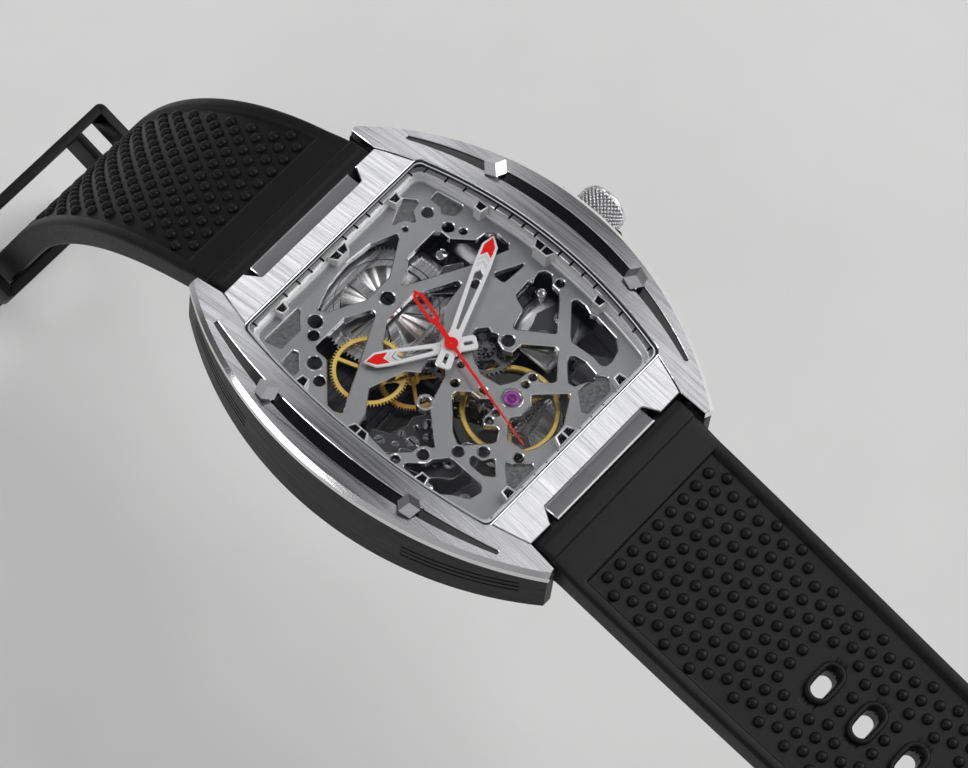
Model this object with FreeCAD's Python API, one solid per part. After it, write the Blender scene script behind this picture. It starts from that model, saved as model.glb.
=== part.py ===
"""Skeleton-dial automatic wristwatch with a barrel-shaped case and a two-part rubber strap.

Frame: the origin is where the hands' axis meets the case-back plane. +X points to 3 o'clock and
the crown, +Y to 12 o'clock and +Z out of the dial. Millimetres.
"""
import FreeCAD, Part
import math
import os

from FreeCAD import Vector

os.makedirs("parts", exist_ok=True)

# ---------------------------------------------------------------- driving dimensions
CASE_HALF_WIDTH = 22.0        # outer edge of a rail at 3 o'clock
CASE_SIDE_R = 42.7            # plan radius of the outer sides
CASE_HALF_LENGTH = 25.5       # lug tips
TOP_Z = 11.2                  # top of the case over the centre
TOP_R = 120.0                 # the top curves along Y
RAIL_THICK = 1.3
RAIL_PROUD = 0.08             # rails stand above the centre frame
SEAM_HALF_WIDTH = 16.0        # inner edge of a rail at 3 o'clock
SEAM_R = 65.0
LUG_INNER_X = 12.2            # inner face of the lugs
FRAME_END_Y = 21.75           # end of the centre frame
OPENING = (14.15, 16.25, 17.4)  # crystal opening: half width at the ends, in the middle, half length
CRYSTAL_THICK = 0.9
GASKET = 0.25

STRAP_PIVOT = (22.6, 6.3)     # y and z of the spring bars
STRAP_END_R = 2.3
STRAP_THICK = 3.4
STRAP_WIDTH = 23.6
STRAP_12_TIP_WIDTH = 20.0
STRAP_6_TIP_WIDTH = 21.0
STRAP_12_PATH = ((20.0, 0.0, 3.0), (20.0, 45.0, 39.27), (70.0, 0.0, 27.0))
STRAP_6_PATH = ((12.0, 0.0, 48.0), (12.0, 50.0, 54.98), (75.0, 0.0, 19.9))
SPRING_BAR_R = 0.9

BACK_RING_Z = 1.05            # the middle case starts here
ROTOR_Z = (1.25, 1.65)
RATCHET_Z = (2.15, 2.45)
TRAIN_BRIDGE_Z = (1.95, 2.6)
BARREL_BRIDGE_Z = (2.6, 3.3)
PLATE_Z = (6.7, 7.7)          # front plate, the skeleton dial
POCKET_DEPTH = 0.4
HOUR_Z, MINUTE_Z, SECOND_Z = 8.2, 8.6, 9.0
HAND_THICK = 0.22
HAND_WIDTH = 1.95
HOUR_LENGTH, MINUTE_LENGTH = 9.7, 14.2

BARREL = (0.0, 9.0)
INTERMEDIATE = (-7.25, 5.06)
THIRD = (-3.886, 1.718)
ESCAPE = (-2.0, -3.03)
PALLET = (-1.08, -5.64)
BALANCE = (0.0, -8.7)
MINUTE_WHEEL = (3.2, -2.4)
CROWN_WHEEL = (5.787, 0.0)
CENTRE = (0.0, 0.0)
BALANCE_R = 5.45
STEM_Z = 5.0
CROWN_R = 2.95
CROWN_X = (22.7, 26.5)

MINUTE_ANGLE = 22.1           # eleven minutes past ten
HOUR_ANGLE = 144.6
SECOND_ANGLE = -105.9
Z_AXIS = Vector(0, 0, 1)
X_AXIS = Vector(1, 0, 0)


# ---------------------------------------------------------------- helpers
def save(shape, node):
    """Writes one node, as a cleaned shape."""
    shape.removeSplitter().exportStep("parts/" + node + ".step")


def arc_edge(p, q, r):
    """Edge through three points given as (x, y)."""
    return Part.Arc(Vector(*p, 0), Vector(*q, 0), Vector(*r, 0)).toShape()


def line_edge(p, q):
    return Part.makeLine(Vector(*p, 0), Vector(*q, 0))


def circle(centre, radius):
    return Part.Wire(Part.makeCircle(radius, Vector(*centre, 0)))


def rounded(points, radius):
    """Closed wire through the points, with each corner rounded as far as its sides allow."""
    edges, start, previous = [], None, None
    count = len(points)
    for i, corner in enumerate(points):
        here = Vector(*corner, 0)
        before = Vector(*points[i - 1], 0) - here
        after = Vector(*points[(i + 1) % count], 0) - here
        half = before.getAngle(after) / 2
        reach = min(radius / math.tan(half), 0.45 * before.Length, 0.45 * after.Length)
        if reach < 0.02:
            first = last = here
        else:
            first = here + before.normalize() * reach
            last = here + after.normalize() * reach
            sag = reach / math.cos(half) - reach * math.tan(half)
            middle = here + (before + after).normalize() * sag
        if previous is not None:
            edges.append(Part.makeLine(previous, first))
        if first is not last:
            edges.append(Part.Arc(first, middle, last).toShape())
        start = start or first
        previous = last
    edges.append(Part.makeLine(previous, start))
    return Part.Wire(edges)


def slab(wires, z0, z1):
    """Extrudes the first wire less the others between two heights."""
    face = Part.makeFace(wires, "Part::FaceMakerBullseye")
    face.translate(Vector(0, 0, z0))
    return face.extrude(Vector(0, 0, z1 - z0))


def cylinder(centre, radius, z0, z1):
    return Part.makeCylinder(radius, z1 - z0, Vector(*centre, z0))


def tube(centre, outer, inner, z0, z1):
    return cylinder(centre, outer, z0, z1).cut(cylinder(centre, inner, z0, z1))


def x_cylinder(y, z, radius, x0, x1):
    return Part.makeCylinder(radius, x1 - x0, Vector(x0, y, z), X_AXIS)


def box(x0, x1, y0, y1, z0, z1):
    return Part.makeBox(x1 - x0, y1 - y0, z1 - z0, Vector(x0, y0, z0))


def fuse(shapes):
    return shapes[0].fuse(shapes[1:])


def cut(shape, tools):
    return shape.cut(tools)


def barrel_wire(inset, corner=0.9):
    """The crystal opening's outline moved inwards, with curved sides and rounded corners."""
    end, middle, length = (value - inset for value in OPENING)
    radius = (length ** 2 + (middle - end) ** 2) / (2 * (middle - end))
    turn = math.degrees(math.asin((length - corner) / radius))
    edges = []
    for side in (1, -1):
        top = (side * (end - corner), side * length)
        low = (-side * (end - corner), side * length)
        edges.append(line_edge(low, top))
        swing = math.radians(turn)
        side_x = middle - radius + radius * math.cos(swing)
        at = (side * side_x, side * (length - corner))
        mid = (side * (end - 0.28 * corner), side * (length - 0.28 * corner))
        edges.append(arc_edge(top, mid, at))
        edges.append(arc_edge(at, (side * middle, 0), (side * side_x, -side * (length - corner))))
        next_mid = (side * (end - 0.28 * corner), -side * (length - 0.28 * corner))
        edges.append(arc_edge((side * side_x, -side * (length - corner)), next_mid,
                              (side * (end - corner), -side * length)))
    return Part.Wire(Part.sortEdges(edges)[0])


def under_curve(below):
    """Everything under the curved top, moved down, with its seam at the bottom."""
    roll = Part.makeCylinder(TOP_R - below, 80, Vector(-40, 0, TOP_Z - TOP_R), X_AXIS)
    roll.rotate(Vector(0, 0, TOP_Z - TOP_R), X_AXIS, 180)
    return roll


def curved_layer(below, thick):
    """Everything between two depths under the curved top."""
    return under_curve(below).cut(under_curve(below + thick)).common(box(-40, 40, -40, 40, 0, 20))


def side_x(y, half_width, radius):
    """Half width of a curved side at y."""
    return half_width - radius + math.sqrt(radius ** 2 - y ** 2)


# ---------------------------------------------------------------- gears
def gear_wire(centre, teeth, module, tooth_at):
    """Outline of straight-sided teeth, with a tooth centred on the given angle in degrees."""
    pitch_r = teeth * module / 2
    tip_r, root_r = pitch_r + module, pitch_r - 1.25 * module
    step = 2 * math.pi / teeth
    points = []
    for i in range(teeth):
        middle = math.radians(tooth_at) + i * step
        for radius, share in ((root_r, -0.25), (tip_r, -0.12), (tip_r, 0.12), (root_r, 0.25)):
            angle = middle + share * step
            points.append(Vector(centre[0] + radius * math.cos(angle),
                                 centre[1] + radius * math.sin(angle), 0))
    return Part.makePolygon(points + points[:1])


def window_wire(centre, inner, outer, start, stop, spoke):
    """Opening between two spokes of the given width."""
    def at(radius, angle, inset):
        turn = angle + inset * math.asin(min(0.9, spoke / 2 / radius))
        return (centre[0] + radius * math.cos(turn), centre[1] + radius * math.sin(turn))
    middle = (start + stop) / 2
    edges = [arc_edge(at(outer, start, 1), at(outer, middle, 0), at(outer, stop, -1)),
             line_edge(at(outer, stop, -1), at(inner, stop, -1)),
             arc_edge(at(inner, stop, -1), at(inner, middle, 0), at(inner, start, 1)),
             line_edge(at(inner, start, 1), at(outer, start, 1))]
    return Part.Wire(edges)


def spoke_windows(centre, inner, outer, count, spoke, turn=0.0):
    step = 2 * math.pi / count
    first = math.radians(turn)
    return [window_wire(centre, inner, outer, first + i * step, first + (i + 1) * step, spoke)
            for i in range(count)]


def wheel(centre, teeth, module, z0, z1, tooth_at, bore, spokes=4, hub=0.9, spoke=0.5, turn=0.0):
    """Spoked gear wheel."""
    rim = teeth * module / 2 - 1.25 * module - 0.45
    holes = [circle(centre, bore)] + spoke_windows(centre, hub, rim, spokes, spoke, turn)
    return slab([gear_wire(centre, teeth, module, tooth_at)] + holes, z0, z1)


def pinion(centre, teeth, module, z0, z1, tooth_at, bore=None):
    holes = [circle(centre, bore)] if bore else []
    return slab([gear_wire(centre, teeth, module, tooth_at)] + holes, z0, z1)


def direction(a, b):
    """Angle in degrees from one centre to another."""
    return math.degrees(math.atan2(b[1] - a[1], b[0] - a[0]))


def tooth(a, b):
    """A tooth of the gear at a points at b."""
    return direction(a, b)


def gap(a, b, teeth):
    """A gap of the gear at a points at b."""
    return direction(a, b) + 180 / teeth


# ---------------------------------------------------------------- case
def case_plan(inset, z0, z1):
    """Whole plan of the case: curved sides, lug tips and slots for the strap ends."""
    half = CASE_HALF_WIDTH - inset
    radius = CASE_SIDE_R - inset
    tip_y = CASE_HALF_LENGTH - inset
    tip_x = side_x(tip_y, half, radius)
    slot_x = LUG_INNER_X + inset
    edges = []
    for side in (1, -1):
        edges.append(arc_edge((side * tip_x, -side * tip_y), (side * half, 0),
                              (side * tip_x, side * tip_y)))
        corners = [(side * tip_x, side * tip_y), (side * slot_x, side * tip_y),
                   (side * slot_x, side * FRAME_END_Y), (-side * slot_x, side * FRAME_END_Y),
                   (-side * slot_x, side * tip_y), (-side * tip_x, side * tip_y)]
        edges += [line_edge(a, b) for a, b in zip(corners, corners[1:])]
    return slab([Part.Wire(Part.sortEdges(edges)[0])], z0, z1)


def strap_recess(clearance=0.0):
    """Round recess in the end walls and frame that each strap end turns in."""
    y, z = STRAP_PIVOT
    radius = STRAP_END_R + 0.2 + clearance
    return [x_cylinder(side * y, z, radius, -LUG_INNER_X, LUG_INNER_X) for side in (1, -1)]


def make_middle_case():
    body = case_plan(0.12, BACK_RING_Z, 20).common(under_curve(RAIL_THICK))
    body = body.cut(slab([barrel_wire(0)], 0, 20))
    body = body.cut(frame_ring_space())
    under_lip = box(-LUG_INNER_X, LUG_INNER_X, 20.6, 30, 0, 9)
    body = cut(body, strap_recess() + [under_lip.mirror(Vector(0, 0, 0), Vector(0, 1, 0)), under_lip])
    body = cut(body, lug_bar_solids() + [x_cylinder(0, STEM_Z, 1.1, 12, 24)])
    lug_y = STRAP_PIVOT[0]
    holes = [x_cylinder(side * lug_y, STRAP_PIVOT[1], 0.6, -13.6, 13.6) for side in (1, -1)]
    flutes = []
    for side in (1, -1):
        for end in (1, -1):
            flutes += flank_lines(side, end)
    guards = []
    for end in (1, -1):
        guard = slab([rounded([(20.2, end * 3.35), (23.4, end * 3.35), (23.4, end * 4.2),
                               (20.9, end * 7.2)], 0.5)], 2.6, 7.6)
        guards.append(guard)
    body = cut(body, holes + flutes)
    return fuse([body] + [guard.cut(slab([barrel_wire(-0.5)], 0, 20)) for guard in guards])


def flank_lines(side, end):
    """Three engraved lines that converge along one end of a flank."""
    lines = []
    for i in range(3):
        rise = 0.9 * (i - 1)
        ring = Part.makeTorus(CASE_SIDE_R - 0.12, 0.16, Vector(side * (22 - CASE_SIDE_R), 0, 5.0 + rise))
        reach = box(side * 26 - 12, side * 26 + 12, min(end * 11, end * 23), max(end * 11, end * 23), 0, 12)
        lines.append(ring.common(reach))
    return lines


def frame_ring_space():
    """Room under the rails for the centre frame's hidden lower ring."""
    return slab([barrel_wire(-1.5)], 0, 20).common(curved_layer(RAIL_THICK - 0.1, 1.0))


def rail_plan():
    """Right-hand rail: curved inside and out, running into two lugs."""
    tip_y = CASE_HALF_LENGTH
    lug_y = 22.0
    tip_x = side_x(tip_y, CASE_HALF_WIDTH, CASE_SIDE_R)
    seam_x = side_x(lug_y, SEAM_HALF_WIDTH, SEAM_R)
    edges = [arc_edge((tip_x, -tip_y), (CASE_HALF_WIDTH, 0), (tip_x, tip_y)),
             line_edge((tip_x, tip_y), (LUG_INNER_X + 0.2, tip_y - 0.25)),
             line_edge((LUG_INNER_X + 0.2, tip_y - 0.25), (LUG_INNER_X, lug_y)),
             line_edge((LUG_INNER_X, lug_y), (seam_x, lug_y)),
             arc_edge((seam_x, lug_y), (SEAM_HALF_WIDTH, 0), (seam_x, -lug_y)),
             line_edge((seam_x, -lug_y), (LUG_INNER_X, -lug_y)),
             line_edge((LUG_INNER_X, -lug_y), (LUG_INNER_X + 0.2, 0.25 - tip_y)),
             line_edge((LUG_INNER_X + 0.2, 0.25 - tip_y), (tip_x, -tip_y))]
    return Part.Wire(edges)


GROOVE_TIP = (15.5, 19.8)
GROOVE_OUT_X, GROOVE_IN_X = 19.85, 18.45


def groove_wire():
    """Crescent that narrows to both ends."""
    x, y = GROOVE_TIP
    edges = [arc_edge((x + 0.25, -y), (GROOVE_OUT_X, 0), (x + 0.25, y)),
             arc_edge((x + 0.25, y), (x, y + 0.2), (x - 0.25, y)),
             arc_edge((x - 0.25, y), (GROOVE_IN_X, 0), (x - 0.25, -y)),
             arc_edge((x - 0.25, -y), (x, -y - 0.2), (x + 0.25, -y))]
    return Part.Wire(edges)


STUD_AT = (18.42, 9.98)
STUD_R = 1.35
STUD_DROP = 0.46


def make_rail():
    rail = slab([rail_plan()], 0, 20).common(curved_layer(-RAIL_PROUD, RAIL_THICK + RAIL_PROUD))
    groove = slab([groove_wire()], 0, 20).common(curved_layer(-1, 1.6))
    rail = cut(rail, [groove, slab([barrel_wire(0)], 0, 20)])
    outer = [edge for edge in rail.Edges if on_outer_top(edge)]
    rail = rail.makeChamfer(0.5, outer)
    sockets = []
    for end in (1, -1):
        sockets.append(cylinder((STUD_AT[0], end * STUD_AT[1]), 0.95, 5, 15))
    return cut(rail, sockets)


def on_outer_top(edge):
    """The rail's outer edge along the curved top."""
    bounds = edge.BoundBox
    return bounds.YLength > 40 and bounds.XMax > CASE_HALF_WIDTH - 0.1 and bounds.ZMax > TOP_Z - 0.2


def make_inlay():
    """Black strip in the bottom of one groove, broken at the studs."""
    strip = slab([groove_wire()], 0, 20).common(curved_layer(0.15, 0.45))
    gaps = [cylinder((STUD_AT[0], end * STUD_AT[1]), 0.96, 5, 15) for end in (1, -1)]
    return cut(strip, gaps)


def make_stud(end):
    """Hexagonal block whose top is three rhombic faces, on a round foot in the rail."""
    x, y = STUD_AT[0], end * STUD_AT[1]
    top = TOP_Z - TOP_R + math.sqrt(TOP_R ** 2 - y ** 2)
    seat = top + RAIL_PROUD + 0.15
    apex = Vector(0, 0, seat + 2 * STUD_DROP + 0.12)
    upper, lower = [], []
    for i in range(6):
        angle = math.radians(end * (105 + 60 * i))
        corner = Vector(STUD_R * math.cos(angle), STUD_R * math.sin(angle), 0)
        upper.append(corner + apex - Vector(0, 0, STUD_DROP * (1 + i % 2)))
        lower.append(corner + Vector(0, 0, seat))
    sides = [[upper[i], upper[(i + 1) % 6], lower[(i + 1) % 6], lower[i]] for i in range(6)]
    roof = [[apex, upper[i], upper[i + 1], upper[(i + 2) % 6]] for i in (0, 2, 4)]
    faces = [Part.Face(Part.makePolygon(points + points[:1])) for points in sides + roof + [lower]]
    head = Part.Solid(Part.Shell(faces))
    if head.Volume < 0:
        head.reverse()
    head.translate(Vector(x, y, 0))
    foot = cylinder((x, y), 0.9, top - RAIL_THICK + 0.15, seat)
    return head.fuse(foot)


def make_centre_frame():
    """Two brushed end plates joined by a thin ring hidden under the rails."""
    seam_x = SEAM_HALF_WIDTH - 0.07
    end_y = FRAME_END_Y
    corner_x = side_x(end_y, seam_x, SEAM_R)
    edges = [arc_edge((corner_x, -end_y), (seam_x, 0), (corner_x, end_y)),
             line_edge((corner_x, end_y), (-corner_x, end_y)),
             arc_edge((-corner_x, end_y), (-seam_x, 0), (-corner_x, -end_y)),
             line_edge((-corner_x, -end_y), (corner_x, -end_y))]
    plan = slab([Part.Wire(edges)], 0, 20).cut(slab([barrel_wire(0)], 0, 20))
    top = plan.common(curved_layer(0, RAIL_THICK)).cut(box(-17, 17, -15.5, 15.5, 0, 20))
    notches = []
    for end in (1, -1):
        outline = [(-8.0, end * 20.0), (8.0, end * 20.0), (9.2, end * 22.0), (-9.2, end * 22.0)]
        notches.append(slab([rounded(outline, 0.3)], 0, 20))
    ring = slab([barrel_wire(-1.4)], 0, 20).cut(slab([barrel_wire(0)], 0, 20))
    ring = ring.common(curved_layer(RAIL_THICK, 0.8))
    frame = top.fuse(ring)
    return cut(frame, notches + strap_recess() + lug_bar_solids())


LUG_BAR_HALF_LENGTH = 7.9
LUG_BAR_Y = (19.75, 21.95)
LUG_BAR_Z = (7.0, 8.95)


def lug_bar_solids():
    """Bars with their two upper long edges rounded."""
    bars = []
    for end in (1, -1):
        near, far = sorted((end * LUG_BAR_Y[0], end * LUG_BAR_Y[1]))
        bar = box(-LUG_BAR_HALF_LENGTH, LUG_BAR_HALF_LENGTH, near, far, *LUG_BAR_Z)
        ridges = [edge for edge in bar.Edges if edge.BoundBox.XLength > 15 and edge.BoundBox.ZMin > 8]
        bars.append(bar.makeFillet(0.3, ridges))
    return bars


def make_lug_bars():
    """Steel bars that close the notches over the strap ends."""
    return Part.makeCompound([cut(bar, strap_recess()) for bar in lug_bar_solids()])


def make_spring_bars():
    y, z = STRAP_PIVOT
    bars = []
    for side in (1, -1):
        body = x_cylinder(side * y, z, SPRING_BAR_R, -11.9, 11.9)
        tips = x_cylinder(side * y, z, 0.55, -13.5, 13.5)
        bars.append(body.fuse(tips))
    return Part.makeCompound(bars)


def make_crystal():
    return slab([barrel_wire(GASKET)], 0, 20).common(curved_layer(0.1, CRYSTAL_THICK))


def make_gasket():
    frame = slab([barrel_wire(0), barrel_wire(GASKET)], 0, 20)
    return frame.common(curved_layer(0.16, CRYSTAL_THICK))


BACK_SCREWS = [(x, y) for x in (-13.2, 13.2) for y in (-14.2, 14.2)] + [(0, -16.6), (0, 16.6)]


def make_back_ring():
    """Ring that holds the back crystal, with its outer edge chamfered and six blind screw holes."""
    outer = slab([barrel_wire(-1.6, 3.0)], 0, BACK_RING_Z)
    ring = outer.cut(cylinder(CENTRE, 13.6, -1, 5))
    edges = [edge for edge in ring.Edges
             if edge.BoundBox.ZMax < 0.01 and edge.BoundBox.DiagonalLength > 0.1
             and math.hypot(edge.CenterOfMass.x, edge.CenterOfMass.y) > 0.5]
    ring = ring.makeChamfer(0.3, edges)
    return cut(ring, [cylinder(at, 0.75, -1, 0.5) for at in BACK_SCREWS])


def slotted_screw(centre, radius, z_low, z_high, depth=0.15, up=True):
    """Screw head with a slot cut in the visible face."""
    head = cylinder(centre, radius, z_low, z_high)
    slot_low, slot_high = (z_high - depth, z_high + 1) if up else (z_low - 1, z_low + depth)
    x, y = centre
    groove = box(x - radius, x + radius, y - 0.1, y + 0.1, slot_low, slot_high)
    groove.rotate(Vector(*centre, 0), Z_AXIS, 37)
    return head.cut(groove)


def make_back_screws():
    return Part.makeCompound([slotted_screw(at, 0.7, 0.05, 0.5, 0.2, False) for at in BACK_SCREWS])


# ---------------------------------------------------------------- dial side
HOLES = [(-7.4, 12.8, .8), (-8.8, 11.8, .63), (-11.15, 9.55, .82), (-12.4, 7.75, .63),
         (10.85, 12.8, .65), (11.0, 9.95, .65), (11.75, 8.45, .42), (7.65, 13.2, .32), (7.8, 3.2, .55),
         (-13.8, -4.3, .5), (-11.4, -6.1, .65), (-2.7, -3.0, .5), (-0.65, -2.0, .38),
         (-1.4, -5.8, .5), (-8.6, -8.6, .65), (-6.8, -10.6, .65), (-4.8, -13.8, .55),
         (-3.6, -8.6, .48), (-2.4, -8.55, .42), (2.3, -8.65, .45), (3.5, -8.65, .45), (14.1, -3.4, .5)]
RIMMED_HOLES = [(-11.15, 9.55, 1.05), (-8.8, 11.8, .85), (-7.4, 12.8, 1.02)]
PLATE_SCREW = (5.0, -3.85, 0.72)
RING_AT, RING_OUTER_R, RING_HOLE_R = (-6.6, -2.2), 1.0, 0.6   # on the edge of an opening
SUNK_SCREWS = [(-11.15, 9.55, .82), (10.85, 12.8, .65), (-11.4, -6.1, .65), (-8.6, -8.6, .65)]
SINK = 0.5
JEWEL_R = 0.85
ARBOR_HOLE_R = 0.8

APERTURES = [
    # openings above the barrel
    [(-6.3, 13.6), (-3.2, 14.75), (0.2, 15.1), (3.7, 14.75), (6.7, 13.5), (6.4, 13.0), (2.1, 10.6),
     (-1.8, 10.6), (-5.7, 12.7)],
    [(-9.6, 10.8), (-5.0, 10.8), (-2.1, 9.3), (-2.3, 8.7), (-13.6, 3.4), (-14.0, 4.2), (-13.9, 5.2),
     (-9.9, 8.9), (-9.9, 10.2)],
    [(2.3, 9.0), (4.9, 10.3), (5.1, 10.7), (9.6, 10.7), (10.05, 10.2), (10.05, 8.9), (11.9, 6.7),
     (13.2, 6.5), (14.0, 5.6), (14.0, 3.8), (13.4, 3.4), (12.0, 4.0), (8.9, 5.3), (2.4, 8.7)],
    [(-2.0, 7.3), (2.3, 7.3), (6.8, 4.9), (6.8, 4.3), (3.5, 3.9), (1.9, 2.6), (0, 1.9), (-2.0, 1.5),
     (-5.5, 4.6), (-4.3, 5.8)],
    # openings beside the hands' axis
    [(-13.4, 1.2), (-12.0, 1.5), (-9.4, 3.3), (-5.3, 1.8), (-4.3, 0.5), (-2.6, 0.9), (-1.9, 0.3),
     (-1.9, -0.8), (-2.5, -1.5), (-4.0, -2.0), (-5.4, -2.4), (-5.9, -2.7), (-6.9, -3.2), (-10.0, -6.6),
     (-10.4, -5.6), (-11.0, -5.1), (-12.0, -5.0), (-13.1, -3.9), (-13.9, -3.3)],
    [(9.9, 2.2), (10.2, 2.65), (13.3, 1.1), (13.0, 0.9), (10.0, 1.1)],
    [(6.5, -3.4), (7.0, -3.0), (9.1, -2.4), (9.5, -1.3), (9.9, -0.8), (12.0, -0.7), (12.6, -1.0),
     (13.6, -0.8), (14.2, -1.3), (14.3, -2.1), (13.4, -2.9), (13.3, -3.9), (12.5, -4.7), (9.4, -7.0),
     (9.1, -7.0)],
    # openings round the balance
    [(-4.8, -4.5), (-4.0, -3.7), (-3.3, -3.8), (-2.3, -5.0), (-2.3, -6.2), (-1.6, -7.0), (-1.9, -7.9),
     (-3.9, -7.9), (-4.4, -8.6), (-3.6, -9.6), (-3.7, -10.1), (-4.9, -10.8), (-5.4, -10.6),
     (-7.8, -8.4), (-7.9, -7.9), (-7.2, -6.7)],
    [(0.4, -6.7), (1.9, -7.6), (3.9, -7.9), (4.2, -8.6), (3.6, -9.7), (4.4, -10.6), (4.9, -10.8),
     (7.8, -8.6), (7.9, -8.0), (5.7, -5.2), (4.2, -5.1), (3.8, -4.2), (4.2, -3.0), (4.9, -2.6),
     (4.6, -1.9), (4.8, -1.2), (3.8, -0.4), (2.6, -0.6), (1.7, -1.6), (0.7, -2.9), (0.0, -4.4)],
    [(-1.9, -9.9), (-3.9, -11.5), (-3.7, -13.8), (-2.5, -14.5), (0, -14.9), (1.5, -14.7), (3.9, -13.4),
     (4.8, -12.9), (1.8, -9.9), (0.9, -10.75), (-0.9, -10.75)],
    # openings in the lower corners
    [(-13.9, -5.5), (-13.4, -5.4), (-11.9, -7.1), (-11.2, -7.2), (-9.8, -8.4), (-9.7, -9.0),
     (-9.9, -13.1), (-10.6, -13.5), (-12.0, -13.1), (-12.9, -11.4), (-13.9, -10.2)],
    [(-8.2, -9.9), (-7.8, -10.2), (-7.7, -11.2), (-6.8, -11.7), (-6.6, -12.1), (-8.2, -13.5),
     (-8.9, -12.4), (-8.9, -10.6)],
    [(13.4, -5.7), (13.9, -6.1), (13.9, -7.2), (13.5, -8.2), (13.7, -9.0), (13.2, -12.1),
     (12.2, -13.2), (10.8, -13.6), (9.9, -13.5), (9.6, -13.1), (9.8, -11.8), (9.6, -9.0),
     (10.0, -8.5), (12.4, -6.5)],
    [(5.6, -11.9), (7.4, -10.2), (8.1, -9.9), (8.6, -10.3), (8.75, -11.6), (8.4, -13.4),
     (7.8, -13.7), (5.7, -12.6)]]

POCKETS = [
    [(-12.9, 15.3), (-12.3, 13.3), (-9.2, 13.3), (-8.2, 14.3), (-7.0, 15.3)],
    [(-13.9, 12.2), (-11.6, 12.3), (-11.3, 11.7), (-12.9, 10.2), (-13.9, 10.2)],
    [(6.8, 14.5), (10.3, 15.9), (11.2, 14.7), (11.1, 14.3), (10.0, 14.1), (9.2, 13.0), (8.9, 13.0),
     (8.5, 13.9), (7.8, 14.3)],
    [(12.3, 13.7), (13.5, 13.7), (14.1, 10.6), (13.8, 10.3), (12.6, 10.3), (11.75, 11.5), (12.3, 12.1)],
    [(-6.1, -13.0), (-5.8, -13.9), (-4.3, -15.3), (-4.6, -15.8), (-8.0, -15.8), (-8.0, -15.0)],
    [(5.6, -13.2), (8.4, -13.6), (9.0, -14.5), (8.7, -14.9), (7.8, -15.8), (4.2, -15.8), (3.9, -15.2)]]


def make_front_plate():
    low, high = PLATE_Z
    wires = [barrel_wire(0.15)] + [rounded(points, 0.28) for points in APERTURES]
    wires += [circle(hole[:2], hole[2]) for hole in HOLES if hole not in SUNK_SCREWS]
    wires += [circle(BALANCE, JEWEL_R + 0.01), circle(CENTRE, 1.25), circle(BARREL, ARBOR_HOLE_R)]
    screws = SUNK_SCREWS + [PLATE_SCREW]
    wires += [circle(screw[:2], 0.35) for screw in screws]
    plate = slab(wires, low, high)
    hollows = [slab([rounded(points, 0.25)], high - POCKET_DEPTH, high + 1) for points in POCKETS]
    hollows += [cylinder(screw[:2], screw[2], high - SINK, high + 1) for screw in screws]
    plate = cut(plate, hollows)
    seats = [cylinder(centre, 0.26, low - 0.1, low + 0.5)
             for centre in (INTERMEDIATE, THIRD, ESCAPE, PALLET)]
    seats.append(cylinder(MINUTE_WHEEL, 0.36, low - 0.1, low + 0.4))
    plate = cut(plate, seats)
    rims = [tube(rim[:2], rim[2], rim[2] - 0.22, high, high + 0.1) for rim in RIMMED_HOLES]
    rims.append(tube(PLATE_SCREW[:2], 0.95, PLATE_SCREW[2], high, high + 0.08))
    rims.append(tube(BARREL, 1.0, ARBOR_HOLE_R, high, high + 0.08))
    rims.append(cylinder(RING_AT, RING_OUTER_R, low, high + 0.1))
    return fuse([plate] + rims).cut(cylinder(RING_AT, RING_HOLE_R, low - 1, high + 1))


def make_plate_screws():
    """Slotted screws whose heads sit on ledges inside the plate's holes."""
    low, high = PLATE_Z
    screws = []
    for x, y, radius in SUNK_SCREWS + [PLATE_SCREW]:
        head = slotted_screw((x, y), radius - 0.05, high - SINK + 0.01, high - SINK + 0.26)
        screws.append(head.fuse(cylinder((x, y), 0.3, low, high - SINK + 0.01)))
    return Part.makeCompound(screws)


CHAPTER_UNDER = 1.15  # depth of the ring's top under the curved top
MARKER_AT = [(-9.15, 16.1, 90), (0.1, 16.1, 90), (9.15, 16.1, 90), (15.05, 0.05, 0), (14.45, 8.45, 0),
             (14.45, -8.45, 0), (-9.15, -16.0, 270), (0.1, -16.0, 270), (9.15, -16.0, 270),
             (-15.05, 0.05, 180), (-14.45, 8.45, 180), (-14.45, -8.45, 180)]


def make_chapter_ring():
    """Raised minute track under the curved crystal, with a step and hour markers on its inside."""
    low, high = PLATE_Z[1], TOP_Z
    ring = slab([barrel_wire(0.1), barrel_wire(0.7)], low, high)
    ring = ring.fuse(slab([barrel_wire(0.1), barrel_wire(1.1)], low, low + 0.5))
    markers, windows = [], []
    for x, y, turn in MARKER_AT:
        double = abs(x) < 1 or abs(y) < 1
        wide, narrow = (1.42, 0.95) if double else (0.72, 0.5)
        outline = [(-0.62, -narrow), (0.5, -wide), (0.5, wide), (-0.62, narrow)]
        block = slab([rounded(outline, 0.06)], low, high)
        slots = marker_slots(double, low, high)
        for shape, into in [(block, markers)] + [(slot, windows) for slot in slots]:
            shape.rotate(Vector(0, 0, 0), Z_AXIS, turn)
            shape.translate(Vector(x, y, 0))
            into.append(shape)
    ring = fuse([ring] + [marker.common(slab([barrel_wire(0.15)], 0, 20)) for marker in markers])
    return cut(ring, windows).common(under_curve(CHAPTER_UNDER))


def marker_slots(double, low, high):
    """Tapered windows in one marker: two in a double one."""
    if double:
        points = [[(-0.45, side * 0.1), (0.42, side * 0.1), (0.42, side * 1.24), (-0.45, side * 0.8)]
                  for side in (1, -1)]
    else:
        points = [[(-0.45, -0.34), (0.42, -0.55), (0.42, 0.55), (-0.45, 0.34)]]
    return [slab([rounded(outline, 0.05)], low + 0.2, high + 1) for outline in points]


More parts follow.
